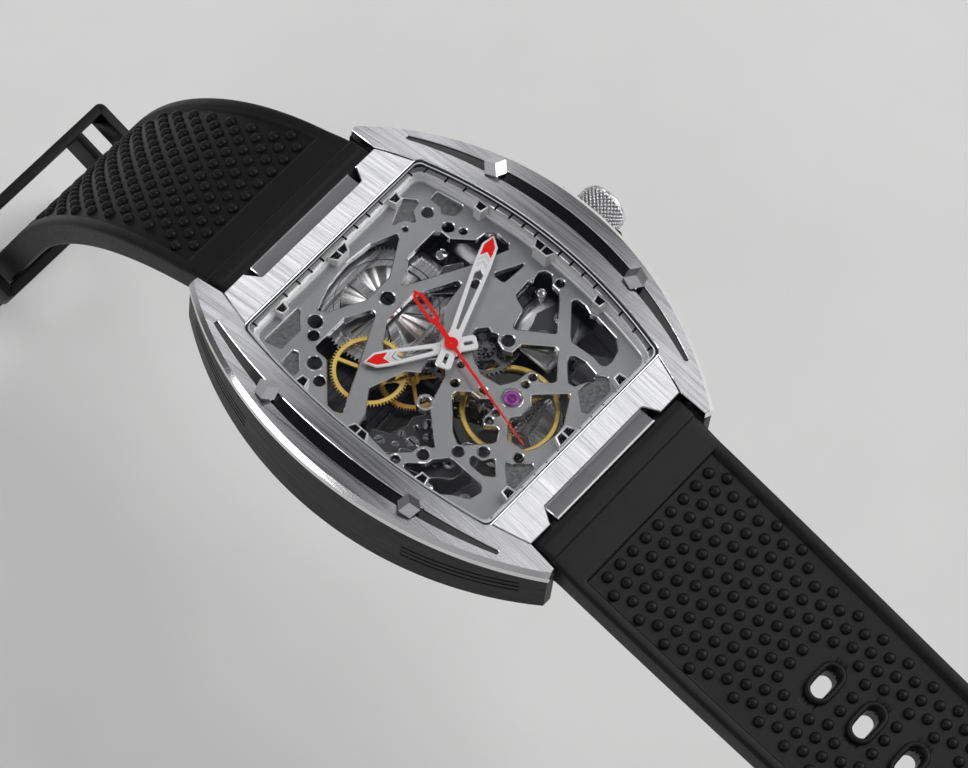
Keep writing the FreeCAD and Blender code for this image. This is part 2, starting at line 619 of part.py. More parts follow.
def make_movement_ring():
    ring = slab([barrel_wire(0.15), barrel_wire(1.35)], TRAIN_BRIDGE_Z[0], PLATE_Z[0])
    barrel_room = cylinder(BARREL, 7.6, RATCHET_Z[0] - 0.1, 5.9)
    return cut(ring, [barrel_room, x_cylinder(0, STEM_Z, 0.75, 10, 20)])


def make_hand(length, tail, width, z, bore, boss, angle):
    """Open hand with a pointed tip, a long slot, a boss and a slotted tail."""
    half = width / 2
    shoulder, belly = length - 1.35, length * 0.72
    side = [(shoulder, half * 0.92), (belly, half), (1.6, half * 0.72), (0.4, half * 0.88),
            (0.25 - tail, half * 0.92), (-tail, half * 0.62)]
    outline = [(length, 0.0)] + side + [(x, -y) for x, y in reversed(side)]
    slot_end = length * 0.68
    slot = [(2.0, -0.16), (2.0, 0.16), (slot_end - 0.5, half * 0.5), (slot_end, 0.0),
            (slot_end - 0.5, -half * 0.5)]
    tail_slot = [(0.5 - tail, -0.2), (0.5 - tail, 0.2), (-boss - 0.12, 0.2), (-boss - 0.12, -0.2)]
    wires = [rounded(outline, 0.06), rounded(slot, 0.08), rounded(tail_slot, 0.05)]
    blade = slab(wires, z, z + HAND_THICK)
    hub = cylinder(CENTRE, boss, z - 0.05, z + HAND_THICK)
    blade = blade.fuse(hub).cut(cylinder(CENTRE, bore, z - 1, z + 1))
    blade.rotate(Vector(0, 0, 0), Z_AXIS, angle)
    return blade


def make_second_hand():
    """Needle with an open lance on its far side, pressed on the seconds shaft."""
    z = SECOND_Z
    needle = [(0.3, -0.2), (14.2, -0.07), (14.2, 0.07), (0.3, 0.2)]
    lance = [(-0.4, -0.28), (-2.9, -0.3), (-3.3, -0.62), (-6.6, -0.62), (-7.5, 0), (-6.6, 0.62),
             (-3.3, 0.62), (-2.9, 0.3), (-0.4, 0.28)]
    slot = [(-3.5, -0.24), (-6.4, -0.24), (-6.85, 0), (-6.4, 0.24), (-3.5, 0.24)]
    parts = [slab([rounded(needle, 0.05)], z, z + 0.12),
             slab([rounded(lance, 0.1), rounded(slot, 0.06)], z, z + 0.12),
             cylinder(CENTRE, 0.75, z, z + 0.16)]
    hand = cut(fuse(parts), [cylinder(CENTRE, 0.24, z - 1, z + 0.08), cylinder(CENTRE, 0.13, z, z + 1)])
    hand.rotate(Vector(0, 0, 0), Z_AXIS, SECOND_ANGLE)
    return hand


# ---------------------------------------------------------------- movement, fixed pieces
PIVOT_R = 0.2
HOLE_R = 0.24


def inside_ring(z0, z1):
    return slab([barrel_wire(1.45)], z0, z1)


def make_barrel_bridge():
    """Upper-half bridge that carries the barrel, the first two wheels and the crown wheel's rim."""
    low, high = BARREL_BRIDGE_Z
    region = slab([rounded([(-16, 1.0), (-3.3, 1.0), (-3.0, 3.7), (3.0, 3.7), (5.0, 1.0), (16, 1.0),
                            (16, 18), (-16, 18)], 0.5)], low, high).common(inside_ring(low, high))
    holes = [cylinder(CENTRE, 3.75, low, high), cylinder(CROWN_WHEEL, 4.4, low, high),
             cylinder(BARREL, 0.95, low, high)]
    holes += [cylinder(at, HOLE_R, low, high) for at in (INTERMEDIATE, THIRD)]
    holes += [cylinder(at, 0.9, low, high) for at in ((-10.9, 12.2), (9.5, 13.4))]
    return cut(region, holes)


def make_train_bridge():
    """Lower bridge for the seconds, escape and pallet pivots, with the rotor's post under it."""
    low, high = TRAIN_BRIDGE_Z
    outline = [(-16, 1.7), (2.6, 1.7), (2.9, -0.9), (16, -0.9), (16, -15.4), (-16, -15.4)]
    region = slab([rounded(outline, 0.4)], low, high).common(inside_ring(low, high))
    holes = [cylinder(BALANCE, 5.9, low, high), cylinder(CROWN_WHEEL, 4.5, low, high),
             cylinder(CENTRE, HOLE_R, low + 0.2, high)]
    tongue = slab([rounded([(-4.4, -2.0), (1.6, -2.0), (0.3, -6.6), (-2.4, -6.6)], 0.5)], low, high)
    bridge = cut(region, holes).fuse(tongue)
    pivots = [cylinder(at, HOLE_R, low, high) for at in (PALLET, ESCAPE)]
    bridge = cut(bridge, pivots + [cylinder(THIRD, 0.6, low, high)])
    post = cylinder(CENTRE, 1.0, ROTOR_Z[0] - 0.05, low)
    flange = cylinder(CENTRE, 1.5, ROTOR_Z[0] - 0.2, ROTOR_Z[0] - 0.05)
    return fuse([bridge, post, flange])


def make_balance_cock():
    """Bridge across the balance's opening, under its lower pivot."""
    low, high = TRAIN_BRIDGE_Z
    x, y = BALANCE
    arm = slab([rounded([(x - 5.85, y - 1.6), (x - 1.2, y - 1.1), (x + 1.2, y - 1.1), (x + 5.85, y - 1.6),
                         (x + 5.85, y + 1.6), (x + 1.2, y + 1.1), (x - 1.2, y + 1.1), (x - 5.85, y + 1.6)],
                        0.4)], low, high)
    arm = arm.common(cylinder(BALANCE, 5.85, low, high))
    return arm.cut(cylinder(BALANCE, HOLE_R, low - 1, high + 1))


PILLARS = [(-11.6, 13.0), (12.4, 11.9), (-11.9, 1.9), (13.3, 1.9), (-11.2, -14.6), (11.2, -14.7),
           (-8.6, -8.6), (8.95, -9.6)]


def make_pillars():
    """Posts that hold the front plate over the bridges, with feet flush on the bridge under them."""
    posts = []
    for x, y in PILLARS:
        base = BARREL_BRIDGE_Z[1] if y > 1 else TRAIN_BRIDGE_Z[1]
        posts.append(cylinder((x, y), 0.62, base, PLATE_Z[0]))
    return Part.makeCompound(posts)


def make_bridge_screws():
    """Slotted screws seen through the back, in the lower faces of the bridges."""
    low = TRAIN_BRIDGE_Z[0]
    places = [(-10.5, -1.0), (10.8, -3.0), (-9.5, -12.0), (9.5, -12.0), (-4.9, -8.7), (4.9, -8.7)]
    return Part.makeCompound([slotted_screw(at, 0.75, low - 0.12, low, 0.08, False) for at in places])


def make_jewels():
    """Pivot jewels: the large one over the balance and small ones under the bridges' pivots."""
    jewels = [tube(BALANCE, JEWEL_R, 0.14, PLATE_Z[1] - 0.45, PLATE_Z[1] + 0.05)]
    for at, z in ((INTERMEDIATE, BARREL_BRIDGE_Z[0]), (THIRD, BARREL_BRIDGE_Z[0]),
                  (ESCAPE, TRAIN_BRIDGE_Z[0]), (PALLET, TRAIN_BRIDGE_Z[0]), (BALANCE, TRAIN_BRIDGE_Z[0])):
        jewels.append(cylinder(at, 0.55, z - 0.12, z))
    return Part.makeCompound(jewels)


# ---------------------------------------------------------------- movement, turning pieces
TEETH = {"barrel": 96, "inter_pinion": 14, "inter": 70, "third_pinion": 9, "third": 75,
         "seconds_pinion": 10, "seconds": 96, "escape_pinion": 8, "cannon": 12, "minute": 36,
         "minute_pinion": 10, "hour": 40, "winding": 14, "crown": 41, "ratchet": 66}
MODULE = {"barrel": 0.15, "inter": 0.12, "third": 0.1, "seconds": 0.07, "cannon": 1 / 6, "hour": 0.16,
          "winding": 0.2}


def make_barrel_drum():
    """Toothed drum, open inside for the mainspring and open at the top."""
    outer = cylinder(BARREL, 6.2, 4.3, 5.75)
    teeth = slab([gear_wire(BARREL, TEETH["barrel"], MODULE["barrel"], tooth(BARREL, INTERMEDIATE))],
                 5.2, 5.6)
    hollow = cylinder(BARREL, 5.8, 4.55, 5.8)
    return outer.fuse(teeth).cut(hollow).cut(cylinder(BARREL, 0.76, 4, 6))


def make_barrel_cover():
    """Spoked cover that shows the mainspring."""
    wires = [circle(BARREL, 5.75), circle(BARREL, 0.76)] + spoke_windows(BARREL, 1.9, 5.0, 5, 1.1, 20)
    return slab(wires, 5.55, 5.75)


def make_mainspring():
    """Spiral ribbon, drawn as closely spaced turns that join into one coil."""
    turns, width, rise = 9, 0.16, 0.85
    inner_r, outer_r = 2.2, 5.6
    points_out, points_in = [], []
    steps = turns * 24
    for i in range(steps + 1):
        angle = 2 * math.pi * turns * i / steps
        radius = inner_r + (outer_r - inner_r) * i / steps
        for offset, into in ((width / 2, points_out), (-width / 2, points_in)):
            into.append(Vector(BARREL[0] + (radius + offset) * math.cos(angle),
                               BARREL[1] + (radius + offset) * math.sin(angle), 0))
    ribbon = Part.makePolygon(points_out + points_in[::-1] + points_out[:1])
    return slab([ribbon], 4.6, 4.6 + rise)


def make_barrel_arbor():
    """Arbor through the drum, pinned to the ratchet wheel below."""
    top = PLATE_Z[1] - 0.25
    shaft = cylinder(BARREL, 0.7, RATCHET_Z[0] - 0.1, top)
    core = cylinder(BARREL, 1.4, 4.6, 5.5)
    slot = box(BARREL[0] - 0.1, BARREL[0] + 0.1, BARREL[1] - 0.7, BARREL[1] + 0.7, top - 0.2, 9)
    return shaft.fuse(core).cut(slot)


def make_ratchet_wheel():
    return wheel(BARREL, TEETH["ratchet"], MODULE["winding"], *RATCHET_Z, tooth(BARREL, CROWN_WHEEL), 0.705,
                 spokes=5, hub=2.4, spoke=1.6)


def make_crown_wheel():
    """Flat gear with a raised ring under the winding pinion."""
    disc = wheel(CROWN_WHEEL, TEETH["crown"], MODULE["winding"], *RATCHET_Z,
                 gap(CROWN_WHEEL, BARREL, TEETH["crown"]), 0.5, spokes=4, hub=1.5, spoke=1.2)
    ring = tube(CROWN_WHEEL, 3.75, 3.3, RATCHET_Z[1], 3.3)
    notches = []
    for i in range(TEETH["crown"]):
        notch = box(3.0, 4.0, -0.12, 0.12, 2.95, 4.0)
        notch.rotate(Vector(0, 0, 0), Z_AXIS, 360 * i / TEETH["crown"])
        notch.translate(Vector(*CROWN_WHEEL, 0))
        notches.append(notch)
    return disc.fuse(ring.cut(notches))


def x_gear(teeth, module, x0, x1, bore):
    """Gear on the stem's axis."""
    gear = slab([gear_wire(CENTRE, teeth, module, 0), circle(CENTRE, bore)], 0, x1 - x0)
    gear.rotate(Vector(0, 0, 0), Vector(0, 1, 0), 90)
    gear.translate(Vector(x0, 0, STEM_Z))
    return gear


STEM_R = 0.6
GROOVE_X = (12.5, 13.2)


def make_winding_pinion():
    return x_gear(TEETH["winding"], MODULE["winding"], 8.7, 10.1, STEM_R + 0.05)


def make_stem():
    stem = x_cylinder(0, STEM_Z, STEM_R, 8.2, CROWN_X[1] - 0.6)
    neck = x_cylinder(0, STEM_Z, STEM_R + 1, *GROOVE_X).cut(x_cylinder(0, STEM_Z, 0.36, *GROOVE_X))
    return stem.cut(neck)


def make_setting_lever():
    """Small fork in the stem's groove, which slides with the stem but doesn't turn."""
    x0, x1 = GROOVE_X[0] + 0.08, GROOVE_X[1] - 0.08
    plate = box(x0, x1, -1.1, 1.1, 3.75, STEM_Z)
    return plate.cut(x_cylinder(0, STEM_Z, 0.42, x0 - 1, x1 + 1))


def make_crown_tube():
    outer = x_cylinder(0, STEM_Z, 1.1, 15.4, 22.5)
    return outer.cut(x_cylinder(0, STEM_Z, STEM_R + 0.08, 12, 24)).cut(slab([barrel_wire(-0.05)], 0, 20))


def make_crown():
    """Grooved crown, hollow where it covers the tube."""
    low, high = CROWN_X
    body = x_cylinder(0, STEM_Z, CROWN_R, low, high)
    rims = [edge for edge in body.Edges if edge.Curve.TypeId == "Part::GeomCircle"]
    body = body.makeChamfer(0.45, rims)
    hollow = x_cylinder(0, STEM_Z, 1.3, low - 1, high - 1.6)
    grooves = []
    for i in range(36):
        groove = box(low + 0.6, high - 0.75, -0.1, 0.1, CROWN_R - 0.15, CROWN_R + 1)
        groove.rotate(Vector(0, 0, 0), X_AXIS, 10 * i)
        groove.translate(Vector(0, 0, STEM_Z))
        grooves.append(groove)
    body = cut(body, [hollow, Part.makeCompound(grooves)])
    return body.cut(x_cylinder(0, STEM_Z, STEM_R, low - 1, high - 0.6))


def make_intermediate():
    wheel_part = wheel(INTERMEDIATE, TEETH["inter"], MODULE["inter"], 6.1, 6.32, tooth(INTERMEDIATE, THIRD),
                       PIVOT_R, spokes=4, hub=0.8, spoke=0.45, turn=20)
    leaves = pinion(INTERMEDIATE, TEETH["inter_pinion"], MODULE["barrel"], 5.0, 5.85,
                    gap(INTERMEDIATE, BARREL, TEETH["inter_pinion"]))
    arbor = cylinder(INTERMEDIATE, PIVOT_R, BARREL_BRIDGE_Z[0] + 0.1, PLATE_Z[0] + 0.4)
    arbor_body = cylinder(INTERMEDIATE, 0.35, BARREL_BRIDGE_Z[1] + 0.1, 6.1)
    return wheel_part, fuse([leaves, arbor, arbor_body]).cut(wheel_part)


def make_third():
    wheel_part = wheel(THIRD, TEETH["third"], MODULE["third"], 3.85, 4.03, tooth(THIRD, CENTRE), PIVOT_R,
                       spokes=4, hub=0.8, spoke=0.45, turn=50)
    leaves = pinion(THIRD, TEETH["third_pinion"], MODULE["inter"], 5.95, 6.5,
                    gap(THIRD, INTERMEDIATE, TEETH["third_pinion"]))
    arbor = cylinder(THIRD, PIVOT_R, BARREL_BRIDGE_Z[0] + 0.1, PLATE_Z[0] + 0.4)
    arbor_body = cylinder(THIRD, 0.32, 4.03, 5.95)
    return wheel_part, fuse([leaves, arbor, arbor_body]).cut(wheel_part)


def make_seconds():
    wheel_part = wheel(CENTRE, TEETH["seconds"], MODULE["seconds"], 3.55, 3.7, tooth(CENTRE, ESCAPE), 0.24,
                       spokes=4, hub=0.8, spoke=0.4, turn=10)
    leaves = pinion(CENTRE, TEETH["seconds_pinion"], MODULE["third"], 3.75, 4.15,
                    gap(CENTRE, THIRD, TEETH["seconds_pinion"]))
    arbor = cylinder(CENTRE, PIVOT_R, TRAIN_BRIDGE_Z[0] + 0.25, 3.55)
    shaft = cylinder(CENTRE, 0.24, 3.5, SECOND_Z + 0.08)
    return wheel_part, fuse([leaves, arbor, shaft]).cut(wheel_part)


def make_escape_wheel():
    """Fifteen club teeth on thin spokes, with its pinion and arbor."""
    teeth, tip_r, root_r = 15, 2.0, 1.45
    points = []
    for i in range(teeth):
        for radius, share in ((root_r, 0.0), (tip_r, 0.42), (tip_r, 0.62), (root_r, 0.55)):
            angle = 2 * math.pi * (i + share) / teeth
            points.append(Vector(ESCAPE[0] + radius * math.cos(angle),
                                 ESCAPE[1] + radius * math.sin(angle), 0))
    rim = Part.makePolygon(points + points[:1])
    disc = slab([rim] + spoke_windows(ESCAPE, 0.45, 1.15, 4, 0.3), 2.95, 3.1)
    leaves = pinion(ESCAPE, TEETH["escape_pinion"], MODULE["seconds"], 3.45, 3.8,
                    gap(ESCAPE, CENTRE, TEETH["escape_pinion"]))
    arbor = cylinder(ESCAPE, 0.16, TRAIN_BRIDGE_Z[0] + 0.1, PLATE_Z[0] + 0.4)
    return fuse([disc, leaves, arbor])


def make_pallet_fork():
    """Lever with two pallets that stand clear of the escape wheel's tips and a fork at the balance end."""
    x, y = PALLET
    heading = direction(PALLET, BALANCE)
    low, high = 2.95, 3.1
    post_top = 4.2                # clear of the balance, which swings above it
    fork_end = [(0, -0.16), (2.1, -0.13), (2.25, -0.4), (2.55, -0.4), (2.55, -0.2), (2.3, 0.0),
                (2.55, 0.2), (2.55, 0.4), (2.25, 0.4), (2.1, 0.13), (0, 0.16)]
    pallets = [(-0.35, -1.5), (0.15, -1.5), (0.25, 0), (0.15, 1.5), (-0.35, 1.5), (-0.25, 0)]
    lever = slab([rounded(fork_end, 0.04)], low, high)
    arms = slab([rounded(pallets, 0.1)], low, high)
    hub = cylinder(CENTRE, 0.4, low - 0.05, high + 0.05)
    fork = fuse([lever, arms, hub])
    fork.rotate(Vector(0, 0, 0), Z_AXIS, heading)
    fork.translate(Vector(x, y, 0))
    return fork.fuse(cylinder(PALLET, 0.16, TRAIN_BRIDGE_Z[0] + 0.1, post_top))


def make_balance_wheel():
    """Rim on three arms."""
    wires = [circle(BALANCE, BALANCE_R), circle(BALANCE, 0.3)]
    rim_inner = BALANCE_R - 0.62
    low, high = 4.5, 5.05
    disc = slab(wires + spoke_windows(BALANCE, 0.75, rim_inner, 3, 0.45, 100), low, high - 0.25)
    rim = tube(BALANCE, BALANCE_R, rim_inner, high - 0.25, high)
    return disc.fuse(rim)


def make_balance_staff():
    """Staff with the impulse roller below and pivots in both jewels."""
    staff = cylinder(BALANCE, 0.3, 3.2, 6.0)
    pivots = cylinder(BALANCE, 0.11, TRAIN_BRIDGE_Z[0] + 0.05, PLATE_Z[1] - 0.05)
    roller = cylinder(BALANCE, 0.72, 3.3, 3.5)
    jewel = cylinder((BALANCE[0] - 0.13, BALANCE[1] + 0.5), 0.12, 3.1, 3.3)
    return fuse([staff, pivots, roller, jewel])


def make_hairspring():
    """Flat spiral under the front plate."""
    turns, width = 7, 0.06
    inner_r, outer_r = 0.55, 3.2
    sides = {1: [], -1: []}
    steps = turns * 24
    for i in range(steps + 1):
        angle = 2 * math.pi * turns * i / steps
        radius = inner_r + (outer_r - inner_r) * i / steps
        for side, points in sides.items():
            r = radius + side * width / 2
            points.append(Vector(BALANCE[0] + r * math.cos(angle), BALANCE[1] + r * math.sin(angle), 0))
    ribbon = Part.makePolygon(sides[1] + sides[-1][::-1] + sides[1][:1])
    spiral = slab([ribbon], 5.6, 5.72)
    collet = tube(BALANCE, 0.6, 0.3, 5.5, 5.8)
    return spiral.fuse(collet)


def make_cannon_pinion():
    """Pinion on a pipe round the seconds shaft, with the minute hand on its top."""
    low, bore = 5.65, 0.29
    leaves = pinion(CENTRE, TEETH["cannon"], MODULE["cannon"], low, 6.05, tooth(CENTRE, MINUTE_WHEEL),
                    bore)
    pipe = tube(CENTRE, 0.6, bore, low, MINUTE_Z + HAND_THICK)
    return leaves.fuse(pipe)


def make_minute_wheel():
    disc = wheel(MINUTE_WHEEL, TEETH["minute"], MODULE["cannon"], 5.75, 5.95,
                 gap(MINUTE_WHEEL, CENTRE, TEETH["minute"]), 0.3, spokes=4, hub=1.2, spoke=0.5)
    leaves = pinion(MINUTE_WHEEL, TEETH["minute_pinion"], MODULE["hour"], 5.95, 6.5,
                    tooth(MINUTE_WHEEL, CENTRE))
    post = cylinder(MINUTE_WHEEL, 0.3, 5.6, PLATE_Z[0] + 0.35)
    return fuse([disc, leaves, post])


def make_hour_wheel():
    disc = wheel(CENTRE, TEETH["hour"], MODULE["hour"], 6.2, 6.42, gap(CENTRE, MINUTE_WHEEL, TEETH["hour"]),
                 0.66, spokes=4, hub=1.4, spoke=0.5)
    pipe = tube(CENTRE, 0.88, 0.66, 6.2, HOUR_Z + HAND_THICK)
    return disc.fuse(pipe)


def make_rotor():
    """Oscillating weight: a ball-bearing hub and arm, and a heavy half rim."""
    low, high = ROTOR_Z
    arm = slab([rounded([(-11.2, -3.2), (-2.0, -2.0), (0, 2.2), (2.0, -2.0), (11.2, -3.2), (8.0, -8.3),
                         (0, -11.3), (-8.0, -8.3)], 1.2)], low, high - 0.15)
    hub = cylinder(CENTRE, 2.4, low, high)
    windows = []
    for side in (1, -1):
        outline = [(side * 2.8, -3.4), (side * 8.4, -4.2), (side * 6.6, -7.3), (side * 1.6, -8.9)]
        windows.append(slab([rounded(outline, 0.8)], 0, 5))
    arm = cut(arm.fuse(hub), windows + [cylinder(CENTRE, 1.05, 0, 5)])
    arm = arm.common(cylinder(CENTRE, 11.3, 0, 5))
    half = box(-20, 20, -20, -1.0, 0, 5)
    weight = tube(CENTRE, 14.2, 11.3, low - 0.1, high).common(half)
    return arm, weight


# ---------------------------------------------------------------- strap and buckle
BUCKLE_PIN_R = 0.75
SLOT_FIRST, SLOT_PITCH, SLOT_COUNT = 31.0, 6.1, 7
KEEPER_AT = 55.0
FIXED_KEEPER_AT = 63.6
KEEPER_WIDE = 4.6
KEEPER_WALL = 1.2


def path_at(path, distance):
    """Point and slope of a strap's centreline: (outward, up, degrees below level)."""
    out, up = 0.0, 0.0
    for slope, radius, length in path:
        step = min(length, distance)
        start = math.radians(slope)
        if radius:
            stop = start + step / radius
            out += radius * (math.sin(stop) - math.sin(start))
            up -= radius * (math.cos(start) - math.cos(stop))
        else:
            stop = start
            out += step * math.cos(start)
            up -= step * math.sin(start)
        distance -= step
        if distance <= 0:
            break
    return out, up, math.degrees(stop)


def path_length(path):
    return sum(length for _, _, length in path)


def local_to_strap(shape, path, distance, side=1):
    """Moves a shape from a frame with +Y along the strap and +Z out of its face to its place."""
    out, up, slope = path_at(path, distance)
    shape.rotate(Vector(0, 0, 0), X_AXIS, -slope)
    shape.translate(Vector(0, STRAP_PIVOT[0] + out, STRAP_PIVOT[1] + up))
    if side < 0:
        shape = shape.mirror(Vector(0, 0, 0), Vector(0, 1, 0))
    return shape


def strap_edge(path, offset):
    """Edges of one face of the strap in the YZ plane, from the pivot outwards."""
    def at(distance):
        out, up, slope = path_at(path, distance)
        turn = math.radians(slope)
        return Vector(0, STRAP_PIVOT[0] + out + offset * math.sin(turn),
                      STRAP_PIVOT[1] + up + offset * math.cos(turn))
    edges, done = [], 0.0
    for _, radius, length in path:
        if radius:
            edges.append(Part.Arc(at(done), at(done + length / 2), at(done + length)).toShape())
        else:
            edges.append(Part.makeLine(at(done), at(done + length)))
        done += length
    return edges, at(0), at(done)


def strap_band(path, tip_width):
    """Bent band with straight tapering sides, on the 12 o'clock side."""
    half = STRAP_THICK / 2
    top, top_start, top_end = strap_edge(path, half)
    low, low_start, low_end = strap_edge(path, -half)
    ends = [Part.makeLine(top_start, low_start), Part.makeLine(top_end, low_end)]
    wire = Part.Wire(Part.sortEdges(top + low + ends)[0])
    band = Part.Face(wire).extrude(Vector(STRAP_WIDTH, 0, 0))
    band.translate(Vector(-STRAP_WIDTH / 2, 0, 0))
    out, up = path_at(path, path_length(path))[:2]
    span = math.hypot(out, up)
    wide, tip = STRAP_WIDTH / 2, tip_width / 2
    taper = slab([rounded([(-wide, -5), (-wide, 6), (-tip, span), (-tip, span + 20), (tip, span + 20),
                           (tip, span), (wide, 6), (wide, -5)], 5)], -40, 40)
    taper.rotate(Vector(0, 0, 0), X_AXIS, math.degrees(math.atan2(up, out)))
    taper.translate(Vector(0, *STRAP_PIVOT))
    knuckle = x_cylinder(*STRAP_PIVOT, STRAP_END_R, -STRAP_WIDTH / 2, STRAP_WIDTH / 2)
    bore = x_cylinder(*STRAP_PIVOT, SPRING_BAR_R + 0.05, -20, 20)
    return band.common(taper).fuse(knuckle).cut(bore)


def keeper_loop(inner_half, low, high):
    """Band round both strap layers, in the strap's own frame."""
    wall, half = KEEPER_WALL, KEEPER_WIDE / 2
    outer = box(-inner_half - wall, inner_half + wall, -half, half, low - wall, high + wall)
    rounding = [edge for edge in outer.Edges if edge.BoundBox.YLength > KEEPER_WIDE - 0.1]
    outer = outer.makeFillet(0.9, rounding)
    return outer.cut(box(-inner_half, inner_half, -half - 1, half + 1, low, high))


def make_strap_12():
    path = STRAP_12_PATH
    end = path_length(path)
    band = strap_band(path, STRAP_12_TIP_WIDTH)
    loop = x_cylinder(0, 0, STRAP_THICK / 2, -STRAP_12_TIP_WIDTH / 2, STRAP_12_TIP_WIDTH / 2)
    band = band.fuse(local_to_strap(loop, path, end))
    slot = local_to_strap(box(-1.7, 1.7, -4.4, 5, -5, 5), path, end)
    bore = local_to_strap(x_cylinder(0, 0, BUCKLE_PIN_R + 0.05, -20, 20), path, end)
    half = STRAP_THICK / 2
    keeper = local_to_strap(keeper_loop(10.2, -half + 0.05, 2 * STRAP_THICK - half + 0.3), path,
                            FIXED_KEEPER_AT)
    return cut(band.fuse(keeper), [slot, bore])


def make_sliding_keeper():
    half = STRAP_THICK / 2
    return local_to_strap(keeper_loop(11.3, -half - 0.25, 2 * STRAP_THICK - half + 0.3), STRAP_12_PATH,
                          KEEPER_AT)


def make_strap_6():
    path = STRAP_6_PATH
    band = strap_band(path, STRAP_6_TIP_WIDTH)
    slots = []
    for i in range(SLOT_COUNT):
        slot = slab([rounded([(-1.9, -0.95), (1.9, -0.95), (1.9, 0.95), (-1.9, 0.95)], 0.9)], -4, 4)
        slots.append(local_to_strap(slot, path, SLOT_FIRST + i * SLOT_PITCH))
    band = band.cut(slots)
    return band.mirror(Vector(0, 0, 0), Vector(0, 1, 0))


def buckle_place(shape):
    return local_to_strap(shape, STRAP_12_PATH, path_length(STRAP_12_PATH))


def make_buckle_frame():
    outer = [(-12.8, -2.0), (-12.8, 12.6), (12.8, 12.6), (12.8, -2.0), (10.5, -2.0), (10.5, 9.9),
             (-10.5, 9.9), (-10.5, -2.0)]
    frame = slab([rounded(outer, 1.0)], -1.3, 1.3)
    frame = frame.cut(x_cylinder(0, 0, BUCKLE_PIN_R, -20, 20))
    return buckle_place(frame)


def make_buckle_pin():
    return buckle_place(x_cylinder(0, 0, BUCKLE_PIN_R, -12.7, 12.7))


def make_buckle_tang():
    """Tongue from the pin to the top of the frame's far bar."""
    half_wide = 1.3
    side = [(-1.2, 0.7), (0.6, 1.5), (9.0, 2.5), (12.2, 2.3), (12.7, 1.6), (12.6, 1.4), (9.6, 1.4),
            (1.5, 0.2), (0.9, -1.0), (-0.9, -1.0)]
    points = [Vector(-half_wide, y, z) for y, z in side]
    tang = Part.Face(Part.makePolygon(points + points[:1])).extrude(Vector(2 * half_wide, 0, 0))
    tang = tang.fuse(x_cylinder(0, 0, 1.45, -half_wide, half_wide))
    return buckle_place(tang.cut(x_cylinder(0, 0, BUCKLE_PIN_R + 0.05, -5, 5)))


# ---------------------------------------------------------------- build
def mirrored_x(shape):
    return shape.mirror(Vector(0, 0, 0), Vector(1, 0, 0))


rail = make_rail()
inlay = make_inlay()
right_studs = [make_stud(1), make_stud(-1)]
save(make_middle_case(), "middle_case")
save(rail, "rail_right")
save(mirrored_x(rail), "rail_left")
save(make_centre_frame(), "centre_frame")
save(Part.makeCompound([inlay, mirrored_x(inlay)]), "rail_inlays")
save(Part.makeCompound(right_studs + [mirrored_x(stud) for stud in right_studs]), "rail_studs")
save(make_crystal(), "front_crystal")
save(make_gasket(), "crystal_gasket")
save(make_back_ring(), "case_back_ring")
save(cylinder(CENTRE, 13.55, 0.05, BACK_RING_Z - 0.1), "back_crystal")
save(make_back_screws(), "case_back_screws")
save(make_lug_bars(), "lug_bars")
save(make_spring_bars(), "spring_bars")
save(make_crown_tube(), "crown_tube")

save(make_chapter_ring(), "chapter_ring")
save(make_front_plate(), "front_plate")
save(make_plate_screws(), "front_plate_screws")
save(make_movement_ring(), "movement_ring")
save(make_barrel_bridge(), "barrel_bridge")
save(make_train_bridge(), "train_bridge")
save(make_balance_cock(), "balance_cock")
save(make_pillars(), "plate_pillars")
save(make_bridge_screws(), "bridge_screws")
save(make_jewels(), "pivot_jewels")

save(make_barrel_drum(), "barrel_drum")
save(make_barrel_cover(), "barrel_cover")
save(make_mainspring(), "mainspring")
save(make_barrel_arbor(), "barrel_arbor")
save(make_ratchet_wheel(), "ratchet_wheel")
save(make_crown_wheel(), "crown_wheel")
save(make_winding_pinion(), "winding_pinion")
save(make_stem(), "winding_stem")
save(make_setting_lever(), "setting_lever")
save(make_crown(), "crown")
for wheel_node, pinion_node, (wheel_shape, pinion_shape) in (
        ("intermediate_wheel", "intermediate_pinion", make_intermediate()),
        ("third_wheel", "third_pinion", make_third()),
        ("seconds_wheel", "seconds_arbor", make_seconds())):
    save(wheel_shape, wheel_node)
    save(pinion_shape, pinion_node)
save(make_escape_wheel(), "escape_wheel")
save(make_pallet_fork(), "pallet_fork")
save(make_balance_wheel(), "balance_wheel")
save(make_balance_staff(), "balance_staff")
save(make_hairspring(), "hairspring")
save(make_cannon_pinion(), "cannon_pinion")
save(make_minute_wheel(), "minute_wheel")
save(make_hour_wheel(), "hour_wheel")
save(make_hand(HOUR_LENGTH, 2.9, HAND_WIDTH, HOUR_Z, 0.88, 1.3, HOUR_ANGLE), "hour_hand")
save(make_hand(MINUTE_LENGTH, 3.0, HAND_WIDTH, MINUTE_Z, 0.6, 1.1, MINUTE_ANGLE), "minute_hand")
save(make_second_hand(), "second_hand")
rotor_arm, rotor_weight = make_rotor()
save(rotor_arm, "rotor_arm")
save(rotor_weight, "rotor_weight")

save(make_strap_12(), "strap_12")
save(make_strap_6(), "strap_6")
save(make_sliding_keeper(), "sliding_keeper")
save(make_buckle_frame(), "buckle_frame")
save(make_buckle_pin(), "buckle_pin")
save(make_buckle_tang(), "buckle_tang")
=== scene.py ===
"""Looks of the skeleton-dial wristwatch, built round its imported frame. Metres, row frame."""
import bmesh
import bpy
import math
from mathutils import Matrix, Vector


